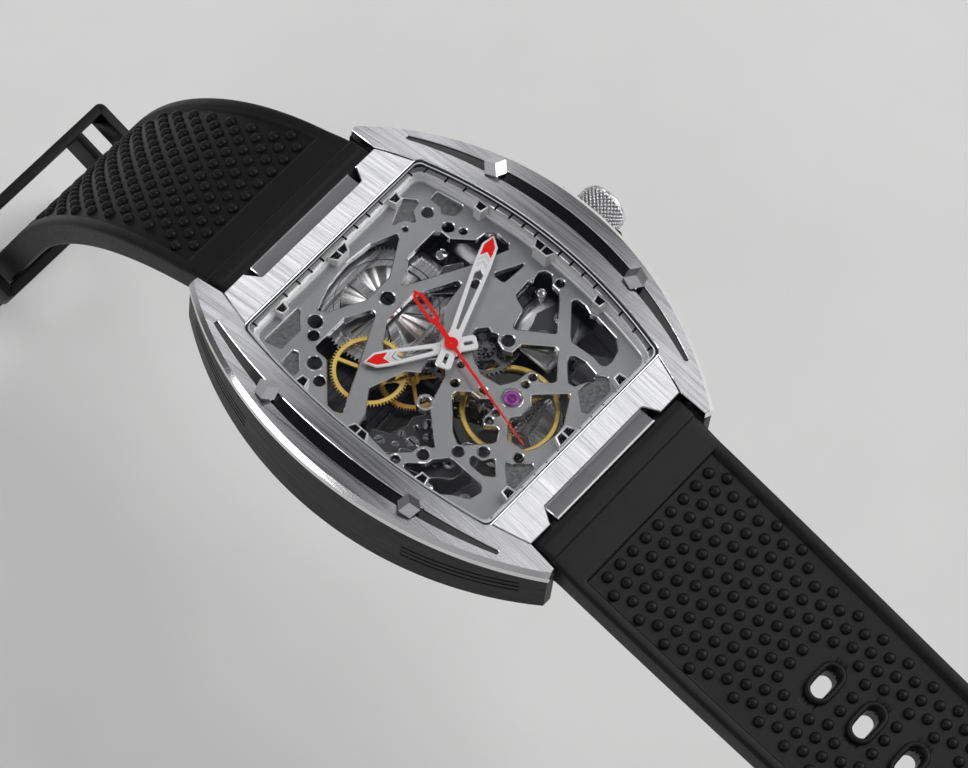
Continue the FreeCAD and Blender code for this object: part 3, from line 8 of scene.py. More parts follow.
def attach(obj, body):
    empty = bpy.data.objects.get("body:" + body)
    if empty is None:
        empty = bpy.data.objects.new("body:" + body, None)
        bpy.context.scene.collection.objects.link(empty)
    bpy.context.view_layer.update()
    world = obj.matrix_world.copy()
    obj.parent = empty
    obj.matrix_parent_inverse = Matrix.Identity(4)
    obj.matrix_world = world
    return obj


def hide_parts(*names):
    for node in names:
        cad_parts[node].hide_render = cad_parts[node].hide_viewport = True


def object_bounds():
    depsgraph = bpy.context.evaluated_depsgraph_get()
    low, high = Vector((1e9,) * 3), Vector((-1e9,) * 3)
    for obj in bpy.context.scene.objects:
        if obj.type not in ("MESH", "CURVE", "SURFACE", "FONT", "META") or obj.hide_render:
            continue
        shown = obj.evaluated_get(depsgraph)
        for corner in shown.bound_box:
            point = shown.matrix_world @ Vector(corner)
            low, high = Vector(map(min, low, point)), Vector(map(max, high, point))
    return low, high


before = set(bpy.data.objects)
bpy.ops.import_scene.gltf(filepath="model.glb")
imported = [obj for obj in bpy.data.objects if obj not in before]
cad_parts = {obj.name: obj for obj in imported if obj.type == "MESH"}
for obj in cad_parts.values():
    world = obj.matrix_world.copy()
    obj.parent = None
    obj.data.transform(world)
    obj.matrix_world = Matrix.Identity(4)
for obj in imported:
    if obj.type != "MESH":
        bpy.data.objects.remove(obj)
CAD_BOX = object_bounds()
MM = 0.001

# ---- sizes repeated from the design, mm
STRAP_PIVOT = (22.6, 6.3)
STRAP_END_R = 2.3
STRAP_HALF = 1.7
STRAP_WIDTH = 23.6
PATH_12 = ((20.0, 0.0, 3.0), (20.0, 45.0, 39.27), (70.0, 0.0, 27.0))
PATH_6 = ((12.0, 0.0, 48.0), (12.0, 50.0, 54.98), (75.0, 0.0, 19.9))
TIP_WIDTH_12, TIP_WIDTH_6 = 20.0, 21.0
SLOT_FIRST, SLOT_PITCH, SLOT_COUNT = 31.0, 6.1, 7
FIXED_KEEPER_AT, SLIDING_KEEPER_AT, KEEPER_WIDE = 63.6, 55.0, 4.6
FIXED_KEEPER_HALF, SLIDING_KEEPER_HALF = 10.2, 11.3
KEEPER_ROOF = 3 * STRAP_HALF + 0.3       # over two layers of strap
BALANCE = (0.0, -8.7)
MARKER_AT = [(-9.15, 16.1, 90), (0.1, 16.1, 90), (9.15, 16.1, 90), (15.05, 0.05, 0), (14.45, 8.45, 0),
             (14.45, -8.45, 0), (-9.15, -16.0, 270), (0.1, -16.0, 270), (9.15, -16.0, 270),
             (-15.05, 0.05, 180), (-14.45, 8.45, 180), (-14.45, -8.45, 180)]
BARREL = (0.0, 9.0)
TOP_Z, TOP_R = 11.2, 120.0
OPENING = (14.15, 16.25, 17.4)
CHAPTER_UNDER = 1.15
STEM_Z = 5.0
CROWN_X, CROWN_R = (22.7, 26.5), 2.95
MINUTE_ANGLE, HOUR_ANGLE = 22.1, 144.6
MINUTE_LENGTH, HOUR_LENGTH = 14.2, 9.7
HOUR_Z, MINUTE_Z, HAND_THICK = 8.2, 8.6, 0.22
PLATE_RECESS = 7.52           # below this the plate's face is sunk and coarse
TANG_GAP = (4.4, 1.7)         # length and half width


# ---- mesh helpers
def linked(name, data):
    """Object with its data, in the scene."""
    obj = bpy.data.objects.new(name, data)
    bpy.context.scene.collection.objects.link(obj)
    return obj


def mesh_object(name, verts, faces, smooth=True):
    """Object from vertices in millimetres."""
    mesh = bpy.data.meshes.new(name)
    mesh.from_pydata([Vector(v) * MM for v in verts], [], faces)
    mesh.update()
    if smooth:
        mesh.shade_smooth()
    return linked(name, mesh)


def ring_faces(rings, around, start=0, flip=False):
    """Quads between successive closed rings of vertices."""
    faces = []
    for i in range(rings - 1):
        low, high = start + i * around, start + (i + 1) * around
        for k in range(around):
            m = (k + 1) % around
            quad = (low + k, low + m, high + m, high + k)
            faces.append(quad[::-1] if flip else quad)
    return faces


def bake(obj):
    """Applies the object's modifiers."""
    graph = bpy.context.evaluated_depsgraph_get()
    mesh = bpy.data.meshes.new_from_object(obj.evaluated_get(graph))
    obj.modifiers.clear()
    obj.data = mesh
    return obj


def join(name, pieces):
    """One object from several, with their modifiers already applied."""
    whole = bmesh.new()
    for piece in pieces:
        whole.from_mesh(piece.data)
        bpy.data.objects.remove(piece)
    mesh = bpy.data.meshes.new(name)
    whole.to_mesh(mesh)
    whole.free()
    return linked(name, mesh)


def place(obj, body, material, slot, *replaced):
    """Gives a piece its material and its body; its slot is not used."""
    obj.data.materials.clear()
    obj.data.materials.append(material)
    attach(obj, body)
    if replaced:
        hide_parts(*replaced)
    return obj


def welded(node):
    """Vertices in millimetres, triangles and normals of a CAD node, with shared corners joined."""
    work = bmesh.new()
    work.from_mesh(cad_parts[node].data)
    bmesh.ops.remove_doubles(work, verts=work.verts, dist=3e-7)
    bmesh.ops.triangulate(work, faces=work.faces)
    work.normal_update()
    verts = [vert.co / MM for vert in work.verts]
    faces = [tuple(vert.index for vert in face.verts) for face in work.faces]
    normals = [face.normal.copy() for face in work.faces]
    work.free()
    return verts, faces, normals


def upper_rims(verts, faces, normals):
    """Edges where a top face ends at a wall going down, with the way in and the wall's height."""
    owners = {}
    for number, face in enumerate(faces):
        for i in range(3):
            owners.setdefault(frozenset((face[i], face[(i + 1) % 3])), []).append(number)
    rims = []
    for number, face in enumerate(faces):
        if normals[number].z < 0.93:
            continue
        for i in range(3):
            a, b = face[i], face[(i + 1) % 3]
            others = [n for n in owners[frozenset((a, b))] if n != number]
            if len(others) != 1 or abs(normals[others[0]].z) > 0.5:
                continue
            third = [v for v in faces[others[0]] if v not in (a, b)][0]
            drop = min(verts[a].z, verts[b].z) - verts[third].z
            if drop > 0.03:
                along = verts[b] - verts[a]
                rims.append((a, b, Vector((-along.y, along.x, 0)).normalized(), drop))
    return rims


def chamfered(node, width):
    """Copy of a CAD node as a new piece, with its upper edges cut at 45 degrees."""
    verts, faces, normals = welded(node)
    rims = upper_rims(verts, faces, normals)
    inward, cut = {}, {}
    for a, b, way, drop in rims:
        for v in (a, b):
            inward.setdefault(v, []).append(way)
            cut[v] = min(cut.get(v, width), drop * 0.5)
    upper = {}
    for v, ways in inward.items():
        mean = sum(ways, Vector((0, 0, 0))).normalized()
        reach = cut[v] / max(0.45, min(mean.dot(way) for way in ways))
        upper[v] = len(verts)
        verts.append(verts[v] + mean * reach)
    for v in inward:
        verts[v] = verts[v] - Vector((0, 0, cut[v]))
    shaped = [tuple(upper.get(v, v) for v in face) if normals[number].z > 0.93 else face
              for number, face in enumerate(faces)]
    strips = [(upper[b], upper[a], a, b) for a, b, _, _ in rims]
    obj = mesh_object(node + "_piece", verts, shaped + strips)
    obj.data.set_sharp_from_angle(angle=math.radians(28))
    return obj


# ---- materials
def new_material(name, colour, metallic=0.0, roughness=0.5, **sockets):
    """Material whose uniform values sit on the shader's own sockets."""
    material = bpy.data.materials.new(name)
    material.use_nodes = True
    shader = material.node_tree.nodes["Principled BSDF"]
    shader.inputs["Base Color"].default_value = (*colour, 1)
    shader.inputs["Metallic"].default_value = metallic
    shader.inputs["Roughness"].default_value = roughness
    for socket, value in sockets.items():
        shader.inputs[socket.replace("_", " ")].default_value = value
    return material, material.node_tree, shader


def add(tree, kind, **values):
    """Node with some of its input sockets set by name."""
    node = tree.nodes.new("ShaderNode" + kind)
    for socket, value in values.items():
        node.inputs[socket.replace("_", " ")].default_value = value
    return node


def grain(tree, scale, detail=4.0, stretch=(1, 1, 1), turn=(0, 0, 0)):
    """Noise over the object's own coordinates, in cycles per metre."""
    coordinates = add(tree, "TexCoord")
    mapping = add(tree, "Mapping", Rotation=turn, Scale=stretch)
    noise = add(tree, "TexNoise", Scale=scale, Detail=detail, Roughness=0.6)
    tree.links.new(coordinates.outputs["Object"], mapping.inputs["Vector"])
    tree.links.new(mapping.outputs["Vector"], noise.inputs["Vector"])
    return noise.outputs["Fac"]


def ramp(tree, source, low=0.0, high=1.0, start=0.3, stop=0.7):
    """Spreads a factor between two colours or greys."""
    node = add(tree, "ValToRGB")
    for element, position, value in zip(node.color_ramp.elements, (start, stop), (low, high)):
        element.position = position
        element.color = (*value, 1) if isinstance(value, tuple) else (value, value, value, 1)
    tree.links.new(source, node.inputs["Fac"])
    return node.outputs["Color"]


def tint(colour, share):
    """A colour made darker or lighter, no brighter than white."""
    return tuple(min(1.0, c * share) for c in colour)


def drive(tree, shader, colour=None, roughness=None):
    """Links sources to the shader's colour and roughness."""
    for socket, source in (("Base Color", colour), ("Roughness", roughness)):
        if source:
            tree.links.new(source, shader.inputs[socket])


def component(tree, output, axis):
    """One component of a texture coordinate."""
    coordinates = add(tree, "TexCoord")
    parts = add(tree, "SeparateXYZ")
    tree.links.new(coordinates.outputs[output], parts.inputs[0])
    return parts.outputs[axis]


def spread(tree, source, low, high):
    """Maps low..high of a source to 0..1."""
    node = add(tree, "MapRange", From_Min=low, From_Max=high)
    tree.links.new(source, node.inputs["Value"])
    return node.outputs["Result"]


def bump(tree, shader, source, height, strength=0.5):
    """Adds surface relief of a height in metres."""
    node = add(tree, "Bump", Strength=strength, Distance=height)
    tree.links.new(source, node.inputs["Height"])
    tree.links.new(node.outputs["Normal"], shader.inputs["Normal"])


def flatness(tree, start=0.9, stop=0.995):
    """1 where a surface faces straight up or down in its own frame, 0 on its edges."""
    size = add(tree, "Math")
    size.operation = "ABSOLUTE"
    tree.links.new(component(tree, "Normal", "Z"), size.inputs[0])
    return spread(tree, size.outputs[0], start, stop)


def mix(tree, factor, low, high):
    """Blend of two greys, colours or sources."""
    node = add(tree, "Mix")
    node.data_type = "RGBA"
    tree.links.new(factor, node.inputs["Factor"])
    for socket, value in ((node.inputs["A"], low), (node.inputs["B"], high)):
        if isinstance(value, (int, float)):
            socket.default_value = (value, value, value, 1)
        elif isinstance(value, tuple):
            socket.default_value = (*value, 1)
        else:
            tree.links.new(value, socket)
    return node.outputs["Result"]


def brushed_metal(name, colour, along, rough=(0.2, 0.4), edge_rough=0.1, lines=9000.0, depth=5e-6,
                  shade=0.62, edge=None):
    """Metal with fine parallel scratches along one axis, polished on its edges; an edge colour, where
    given, is lighter than the flats as a painted highlight.
    """
    material, tree, shader = new_material(name, colour, metallic=1.0)
    stretch = [0.012, 0.012, 0.012]
    stretch[1 - along] = 1.0
    fine = grain(tree, lines, 3.0, stretch)
    broad = grain(tree, lines * 0.22, 5.0, stretch)
    dark = tint(colour, shade)
    deep = tint(colour, shade * shade)
    bands = mix(tree, ramp(tree, broad, 0.0, 1.0, 0.36, 0.62), dark, colour)
    streaks = mix(tree, ramp(tree, fine, 0.0, 1.0, 0.3, 0.58), deep, bands)
    flat = flatness(tree, 0.93, 0.975)
    # painted highlight: an edge colour, when given, makes every slanted face lighter than the flats
    drive(tree, shader, mix(tree, flat, edge or colour, streaks),
          mix(tree, flat, edge_rough, ramp(tree, broad, *rough)))
    bump(tree, shader, fine, depth, 0.6)
    return material


def blasted_metal(name, colour, edge, rough=0.5, grain_size=9000.0, floor=None, solid=1.0):
    """Sand-blasted flats with polished edges, whose lighter colour is partly a painted highlight; below a
    level in metres they are coarse and dark.
    """
    material, tree, shader = new_material(name, colour, metallic=solid)
    fine = grain(tree, grain_size, 3.0)
    cloud = grain(tree, 380.0, 3.0)
    flats = mix(tree, ramp(tree, fine), tint(colour, 0.84), colour)
    flats = mix(tree, ramp(tree, cloud, 0.0, 0.35, 0.35), flats, tint(colour, 1.15))
    if floor:
        coarse = grain(tree, 2600.0, 4.0)
        rough_floor = mix(tree, ramp(tree, coarse, 0.0, 1.0, 0.35, 0.65), tint(colour, 0.3),
                          tint(colour, 0.62))
        flats = mix(tree, height_above(tree, floor), rough_floor, flats)
    flat = flatness(tree)
    # polished edges, their lighter colour partly a painted highlight on every slanted face
    drive(tree, shader, mix(tree, flat, edge, flats),
          mix(tree, flat, 0.16, ramp(tree, fine, rough - 0.06, rough + 0.1)))
    bump(tree, shader, fine, 6e-6, 0.5)
    return material


def height_above(tree, level):
    """0 under a level of the object's own Z in metres, 1 over it."""
    blur = 2e-5
    return spread(tree, component(tree, "Object", "Z"), level - blur, level + blur)


def polished_metal(name, colour, rough=0.1, wear=0.06):
    """Polished metal with faint hairlines and smudges."""
    material, tree, shader = new_material(name, colour, metallic=1.0, roughness=rough)
    smudge = grain(tree, 420.0, 4.0)
    hair = grain(tree, 7000.0, 2.0, (1, 0.05, 1))
    drive(tree, shader, mix(tree, ramp(tree, hair, 0.0, 0.5), tint(colour, 0.9), colour),
          ramp(tree, smudge, rough, rough + wear))
    bump(tree, shader, hair, 1.2e-6, 0.25)
    return material


def knurled_metal(name):
    """Crown steel: bright on the diamonds and the rims, with painted shade, near black, in the knurl's
    grooves.
    """
    material, tree, shader = new_material(name, (0.7, 0.7, 0.7), metallic=1.0, roughness=0.22)
    coordinates = add(tree, "TexCoord")
    flatten = add(tree, "Mapping", Location=(0, 0, -STEM_Z * MM), Scale=(0, 1, 1))
    radius = add(tree, "VectorMath")
    radius.operation = "LENGTH"
    tree.links.new(coordinates.outputs["Object"], flatten.inputs["Vector"])
    tree.links.new(flatten.outputs["Vector"], radius.inputs[0])
    raised = spread(tree, radius.outputs["Value"], (CROWN_R - 0.3) * MM, (CROWN_R - 0.12) * MM)
    rim = spread(tree, component(tree, "Object", "X"), (CROWN_X[1] - 0.72) * MM, (CROWN_X[1] - 0.66) * MM)
    outside_groove_shade = add(tree, "Math")
    outside_groove_shade.operation = "MAXIMUM"
    tree.links.new(raised, outside_groove_shade.inputs[0])
    tree.links.new(rim, outside_groove_shade.inputs[1])
    # painted shade: near-black colour in the knurl's grooves, steel colour on the diamonds' tops and the
    # rims
    drive(tree, shader, mix(tree, outside_groove_shade.outputs["Value"], (0.03, 0.03, 0.03), (0.85, 0.85, 0.86)),
          ramp(tree, grain(tree, 6000.0, 2.0), 0.16, 0.3))
    return material


def rubber(name, colour=(0.006, 0.006, 0.0065), rough=0.42):
    """Moulded rubber: fine pores, faint bloom and a soft sheen."""
    material, tree, shader = new_material(name, colour, roughness=rough, Specular_IOR_Level=0.18)
    pores = grain(tree, 5200.0, 4.0)
    cloud = grain(tree, 160.0, 3.0)
    drive(tree, shader, mix(tree, ramp(tree, cloud, 0.0, 0.6), colour, tint(colour, 1.9)),
          ramp(tree, pores, rough - 0.08, rough + 0.12))
    bump(tree, shader, pores, 1.4e-5, 0.35)
    return material


def satin_black(name, colour=(0.004, 0.004, 0.0045), rough=0.42):
    """Black plating with hairlines round the flank."""
    material, tree, shader = new_material(name, colour, roughness=rough, Specular_IOR_Level=0.2)
    lines = grain(tree, 4200.0, 3.0, (0.04, 0.04, 1))
    cloud = grain(tree, 300.0, 3.0)
    drive(tree, shader, mix(tree, ramp(tree, cloud, 0.0, 0.5), colour, tint(colour, 2.2)),
          ramp(tree, lines, rough - 0.06, rough + 0.1))
    bump(tree, shader, lines, 3e-6, 0.4)
    return material


def lacquer(name, colour, rough=0.22, flake=0.85):
    """Smooth paint with faint orange peel."""
    material, tree, shader = new_material(name, colour, roughness=rough, Specular_IOR_Level=0.22)
    peel = grain(tree, 2600.0, 3.0)
    drive(tree, shader, mix(tree, ramp(tree, peel), tint(colour, flake), colour),
          ramp(tree, peel, rough - 0.04, rough + 0.06))
    bump(tree, shader, peel, 2e-6, 0.3)
    return material


def crystal_glass(name, cover=0.05):
    """Coated crystal: mostly see-through when its cover is low, with a polished surface."""
    material, tree, shader = new_material(name, (0.02, 0.022, 0.03), roughness=0.01, Alpha=cover,
                                          Specular_IOR_Level=0.5)
    smear = grain(tree, 90.0, 3.0)
    drive(tree, shader, roughness=ramp(tree, smear, 0.0, 0.03))
    return material


def ruby_jewel(name):
    """Synthetic ruby with a violet glow."""
    material, tree, shader = new_material(name, (0.42, 0.05, 0.45), roughness=0.05,
                                          Transmission_Weight=0.35, Coat_Weight=1.0, Coat_Roughness=0.03)
    depth = grain(tree, 1500.0, 2.0)
    drive(tree, shader, mix(tree, ramp(tree, depth), (0.25, 0.02, 0.3), (0.75, 0.25, 0.8)))
    return material


def hand_silver(name):
    """Silvered white hands with fine brushing and bright edges."""
    material, tree, shader = new_material(name, (0.96, 0.96, 0.97), metallic=0.15, roughness=0.3)
    fine = grain(tree, 5200.0, 3.0)
    drive(tree, shader, mix(tree, ramp(tree, fine), (0.92, 0.92, 0.93), (1.0, 1.0, 1.0)),
          mix(tree, flatness(tree), 0.12, 0.32))
    bump(tree, shader, fine, 1.5e-6, 0.3)
    return material


def sunburst_painted_highlight_metal(name, centre):
    """Disc brushed outwards from its centre, with broad blades of painted highlight, dark to bright by
    angle, in its colour.
    """
    material, tree, shader = new_material(name, (0.7, 0.7, 0.7), metallic=1.0, roughness=0.25)
    coordinates = add(tree, "TexCoord")
    shift = add(tree, "Mapping", Location=(-centre[0] * MM, -centre[1] * MM, 0))
    turn = add(tree, "TexGradient")
    turn.gradient_type = "RADIAL"
    tree.links.new(coordinates.outputs["Object"], shift.inputs["Vector"])
    tree.links.new(shift.outputs["Vector"], turn.inputs["Vector"])
    blades = []
    for scale, detail in ((26.0, 1.0), (420.0, 2.0)):
        noise = add(tree, "TexNoise", Scale=scale, Detail=detail)
        noise.noise_dimensions = "1D"
        tree.links.new(turn.outputs["Fac"], noise.inputs["W"])
        blades.append(noise.outputs["Fac"])
    # painted highlight: broad blades from near black to white by angle round the centre; the fine blades
    # are the brushing
    broad = ramp(tree, blades[0], 0.04, 1.0, 0.42, 0.6)
    drive(tree, shader, mix(tree, ramp(tree, blades[1], 0.0, 0.5), broad, (0.3, 0.3, 0.3)))
    bump(tree, shader, blades[1], 4e-6, 0.5)
    return material


def rotor_metal(name):
    """Steel with broad polished waves across it."""
    material, tree, shader = new_material(name, (0.55, 0.55, 0.56), metallic=1.0, roughness=0.25)
    coordinates = add(tree, "TexCoord")
    wave = add(tree, "TexWave", Scale=160.0, Distortion=0.4, Detail=1.0)
    tree.links.new(coordinates.outputs["Object"], wave.inputs["Vector"])
    fine = grain(tree, 6000.0, 3.0, (1, 0.03, 1))
    drive(tree, shader, mix(tree, wave.outputs["Fac"], (0.4, 0.4, 0.41), (0.68, 0.68, 0.69)),
          ramp(tree, fine, 0.18, 0.34))
    bump(tree, shader, wave.outputs["Fac"], 2e-5, 0.3)
    return material


STEEL = brushed_metal("steel_brushed", (0.74, 0.74, 0.75), along=1)
FRAME_STEEL = brushed_metal("steel_brushed_end_plates", (0.58, 0.58, 0.59), along=1, rough=(0.22, 0.42),
                            lines=12000.0, depth=4e-6, shade=0.7)
RAIL_STEEL = brushed_metal("steel_brushed_rails", (0.38, 0.38, 0.39), along=1, edge=(0.9, 0.9, 0.9),
                           shade=0.7)
BAR_STEEL = blasted_metal("steel_bar", (0.2, 0.2, 0.205), (0.85, 0.85, 0.85), rough=0.4)
POLISHED = polished_metal("steel_polished", (0.86, 0.86, 0.87), 0.07)
CROWN_STEEL = knurled_metal("steel_crown_painted_groove_shade")
PLATE_STEEL = blasted_metal("steel_skeleton_plate", (0.39, 0.394, 0.398), (0.9, 0.9, 0.9),
                            floor=PLATE_RECESS * MM)
RING_STEEL = blasted_metal("steel_chapter_ring", (0.9, 0.9, 0.91), (0.98, 0.98, 0.98), rough=0.3,
                           solid=0.45)
DARK_STEEL = polished_metal("steel_dark", (0.2, 0.2, 0.21), 0.26, 0.12)
BRIDGE_STEEL = brushed_metal("steel_bridges", (0.09, 0.09, 0.095), along=0, rough=(0.3, 0.5), lines=4200.0)
WHEEL_STEEL = brushed_metal("steel_movement", (0.6, 0.6, 0.61), along=0, lines=6500.0)
GOLD = polished_metal("gilt_brass", (1.0, 0.72, 0.2), 0.34, 0.12)
AMBER = polished_metal("amber_brass", (1.0, 0.58, 0.14), 0.34, 0.12)
BLACK_CASE = satin_black("black_case")
BLACK_GLOSS = lacquer("black_gloss", (0.006, 0.006, 0.007), 0.12)
RUBBER = rubber("strap_rubber")
GASKET = rubber("gasket_rubber", (0.02, 0.02, 0.02), 0.5)
RING_BLACK = satin_black("movement_ring_black", (0.03, 0.03, 0.032), 0.45)
CRYSTAL = crystal_glass("sapphire_crystal")
SMOKED = crystal_glass("smoked_crystal", 0.75)
RUBY = ruby_jewel("ruby")
# painted shade: near-black steel for the screws, pillars and arbor sunk in the plate's holes
SHADOW_STEEL = polished_metal("steel_painted_shadow", (0.05, 0.05, 0.055), 0.16, 0.2)
SUNBURST_PAINTED_HIGHLIGHT = sunburst_painted_highlight_metal("steel_sunburst_painted_highlight", BARREL)
RED = lacquer("red_lacquer", (1.0, 0.012, 0.008), 0.3)
WHITE = lacquer("white_lacquer", (0.8, 0.8, 0.8), 0.3, 0.94)
HAND_STEEL = hand_silver("silver_hands")
JEWEL_GLASS = lacquer("jewel_glass", (0.2, 0.02, 0.22), 0.05)
# painted highlight: pale opaque lacquer for the crystal's bright bevel
CRYSTAL_EDGE_PAINTED_HIGHLIGHT = lacquer("crystal_edge_painted_highlight", (0.75, 0.77, 0.8), 0.1, 0.95)
LEVER_STEEL = blasted_metal("steel_levers", (0.09, 0.09, 0.095), (0.75, 0.75, 0.75), rough=0.4,
                            grain_size=5000.0)
COVER_STEEL = polished_metal("steel_covers", (0.8, 0.8, 0.81), 0.36, 0.05)
ROTOR = rotor_metal("steel_rotor")


# ---- strap
def path_at(path, distance):
    """Point and slope of a strap's centreline: outward, up and radians below level."""
    out, up = 0.0, 0.0
    for slope, radius, length in path:
        step = min(length, distance)
        start = math.radians(slope)
        stop = start + (step / radius if radius else 0.0)
        if radius:
            out += radius * (math.sin(stop) - math.sin(start))
            up -= radius * (math.cos(start) - math.cos(stop))
        else:
            out += step * math.cos(start)
            up -= step * math.sin(start)
        distance -= step
        if distance <= 1e-9:
            break
    out += distance * math.cos(stop)
    up -= distance * math.sin(stop)
    return out, up, stop


def path_length(path):
    """Length of a strap's centreline."""
    return sum(length for _, _, length in path)


def on_strap(path, side, x, along, height):
    """Point at a place on the strap: across, along and out of its face."""
    out, up, slope = path_at(path, max(along, 0.0))
    if along < 0:
        out += along * math.cos(slope)
        up -= along * math.sin(slope)
    y = STRAP_PIVOT[0] + out + height * math.sin(slope)
    return (x, side * y, STRAP_PIVOT[1] + up + height * math.cos(slope))


def smoothstep(a, b, x):
    """0 below a, 1 above b, with a smooth way between."""
    t = min(1.0, max(0.0, (x - a) / (b - a)))
    return t * t * (3 - 2 * t)


FIELD_START, FIELD_DEPTH = 5.6, 0.55     # the sunk field of studs
FIELD_STOP_12, FIELD_MARGIN_6 = 48.5, 7.0
BORDER = 1.35                            # smooth edge beside the field
SLOT_HALF, RIM_HALF = (1.95, 0.98), (2.35, 1.35)


class Strap:
    """One half of the strap: a swept rubber band with a sunk field of round studs."""

    def __init__(self, path, side, tip_width, field_stop, slots=(), notch=0.0):
        self.path, self.side, self.tip_width = path, side, tip_width
        self.length = path_length(path)
        self.field_stop = field_stop
        self.slots = slots
        self.notch = notch        # length of the tang's gap, on the half that wraps the buckle pin

    def point(self, x, along, height):
        """Point across, along and out of this half."""
        return on_strap(self.path, self.side, x, along, height)

    def half_width(self, along):
        """Half the band's width, tapering to its tip."""
        start, stop = STRAP_WIDTH / 2, self.tip_width / 2
        return start + (stop - start) * smoothstep(2.0, self.length * 0.8, along)

    def top(self, along):
        """Height of the outer face over the centreline."""
        if along <= 0:
            return math.sqrt(max(STRAP_END_R ** 2 - along ** 2, 0.0))
        if along > self.length:
            return math.sqrt(STRAP_HALF ** 2 - (along - self.length) ** 2)
        ridge = STRAP_END_R - 0.25 * smoothstep(1.2, 1.6, along)
        return ridge + (STRAP_HALF - ridge) * smoothstep(1.8, FIELD_START, along)

    def low(self, along):
        """Height of the inner face over the centreline."""
        if along <= 0:
            return -math.sqrt(max(STRAP_END_R ** 2 - along ** 2, 0.0))
        if along > self.length:
            return -self.top(along)
        return -STRAP_END_R + (STRAP_END_R - STRAP_HALF) * smoothstep(0.0, 4.0, along)

    def sink(self, along):
        """Depth of the field under the outer face."""
        start = smoothstep(FIELD_START - 0.2, FIELD_START + 0.05, along)
        return FIELD_DEPTH * start * (1 - smoothstep(self.field_stop, self.field_stop + 0.3, along))

    def section(self, along):
        """Closed outline across the band, as (x, height)."""
        half, top, low = self.half_width(along), self.top(along), self.low(along)
        sink = self.sink(along)
        thick = top - low
        soft = min(0.45, thick * 0.3)
        right = [(half - 0.5, low), (half - 0.12, low + 0.12), (half, low + soft), (half, top - soft),
                 (half - 0.06, top - soft * 0.4), (half - 0.22, top - soft * 0.08), (half - 0.5, top),
                 (half - BORDER + 0.15, top), (half - BORDER + 0.03, top - 0.06 * (sink > 0)),
                 (half - BORDER - 0.1, top - sink * 0.9), (half - BORDER - 0.35, top - sink)]
        inner = [(half * share * 0.8, top - sink) for share in (0.8, 0.4, 0.0, -0.4, -0.8)]
        left = [(-x, h) for x, h in reversed(right)]
        bottom = [(half * share * 0.8, low) for share in (-0.8, 0.0, 0.8)]
        return right + inner + left + bottom

    def stations(self):
        """Distances along the band that get a ring of vertices."""
        nose = [-STRAP_END_R * math.cos(math.radians(a)) for a in range(4, 90, 8)]
        count = int(self.length / 0.5)
        body = [i * self.length / count for i in range(count + 1)]
        extra = [FIELD_START - 0.21, FIELD_START - 0.1, FIELD_START, FIELD_START + 0.06, 1.2, 1.3, 1.4, 1.5,
                 1.6, self.field_stop, self.field_stop + 0.15, self.field_stop + 0.3]
        if self.notch:
            extra += [self.length + STRAP_HALF * math.sin(math.radians(a)) for a in range(10, 90, 8)]
        return sorted(set(nose + body + extra))

    def band(self):
        """Swept body of the strap half."""
        verts = []
        stations = self.stations()
        tip_start = self.length - 4.0
        for along in stations:
            scale = 1.0
            if along > tip_start and not self.notch:
                scale = 1 - 0.45 * ((along - tip_start) / 4.0) ** 3
            verts += [self.point(x * scale, along, h) for x, h in self.section(along)]
        count = len(verts) // len(stations)
        faces = ring_faces(len(stations), count, flip=self.side > 0)
        first, last = tuple(range(count)), tuple(range(len(verts) - count, len(verts)))
        faces.append(first if self.side > 0 else first[::-1])
        faces.append(last[::-1] if self.side > 0 else last)
        return verts, faces

    def clear_of_slots(self, x, along):
        """Whether a stud at this place leaves the slots' rims free."""
        return all(abs(x) >= 3.4 or abs(along - at) >= 2.3 for at in self.slots)

    def studs(self, pitch=2.08, row=1.83, radius=0.66, height=0.62):
        """Round studs in offset rows over the sunk field."""
        verts, faces = [], []
        rings, around = 5, 14
        along = FIELD_START + 1.15
        number = 0
        while along < self.field_stop - 0.6:
            room = self.half_width(along) - BORDER - 0.95
            first = 0.0 if number % 2 == 0 else pitch / 2
            places = [first + i * pitch for i in range(8) if first + i * pitch <= room]
            for x in sorted(set(places + [-p for p in places])):
                if not self.clear_of_slots(x, along):
                    continue
                start = len(verts)
                floor = self.top(along) - self.sink(along) - 0.02
                for k in range(rings):
                    turn = math.pi / 2 * k / rings
                    for m in range(around):
                        a = 2 * math.pi * m / around
                        r = radius * math.cos(turn) ** 0.8
                        verts.append(self.point(x + r * math.cos(a), along + r * math.sin(a),
                                                floor + height * math.sin(turn)))
                verts.append(self.point(x, along, floor + height))
                faces += ring_faces(rings, around, start, self.side < 0)
                last, top = start + (rings - 1) * around, len(verts) - 1
                for m in range(around):
                    tri = (last + m, last + (m + 1) % around, top)
                    faces.append(tri if self.side > 0 else tri[::-1])
            along += row
            number += 1
        return verts, faces

    def rims(self):
        """Raised ovals round the tang slots."""
        verts, faces = [], []
        profile = [(-0.34, 0.0), (-0.3, 0.5), (-0.16, 0.66), (0.0, 0.7), (0.16, 0.66), (0.3, 0.5),
                   (0.34, 0.0)]
        around = 40
        for at in self.slots:
            start = len(verts)
            floor = self.top(at) - self.sink(at) - 0.02
            for i in range(around):
                x, along, nx, ny = oval(*RIM_HALF, i / around)
                for out, up in profile:
                    verts.append(self.point(x + out * nx, at + along + out * ny, floor + up))
            wide = len(profile)
            for i in range(around):
                a, b = start + i * wide, start + (i + 1) % around * wide
                for k in range(wide - 1):
                    quad = (a + k, b + k, b + k + 1, a + k + 1)
                    faces.append(quad if self.side < 0 else quad[::-1])
        return verts, faces

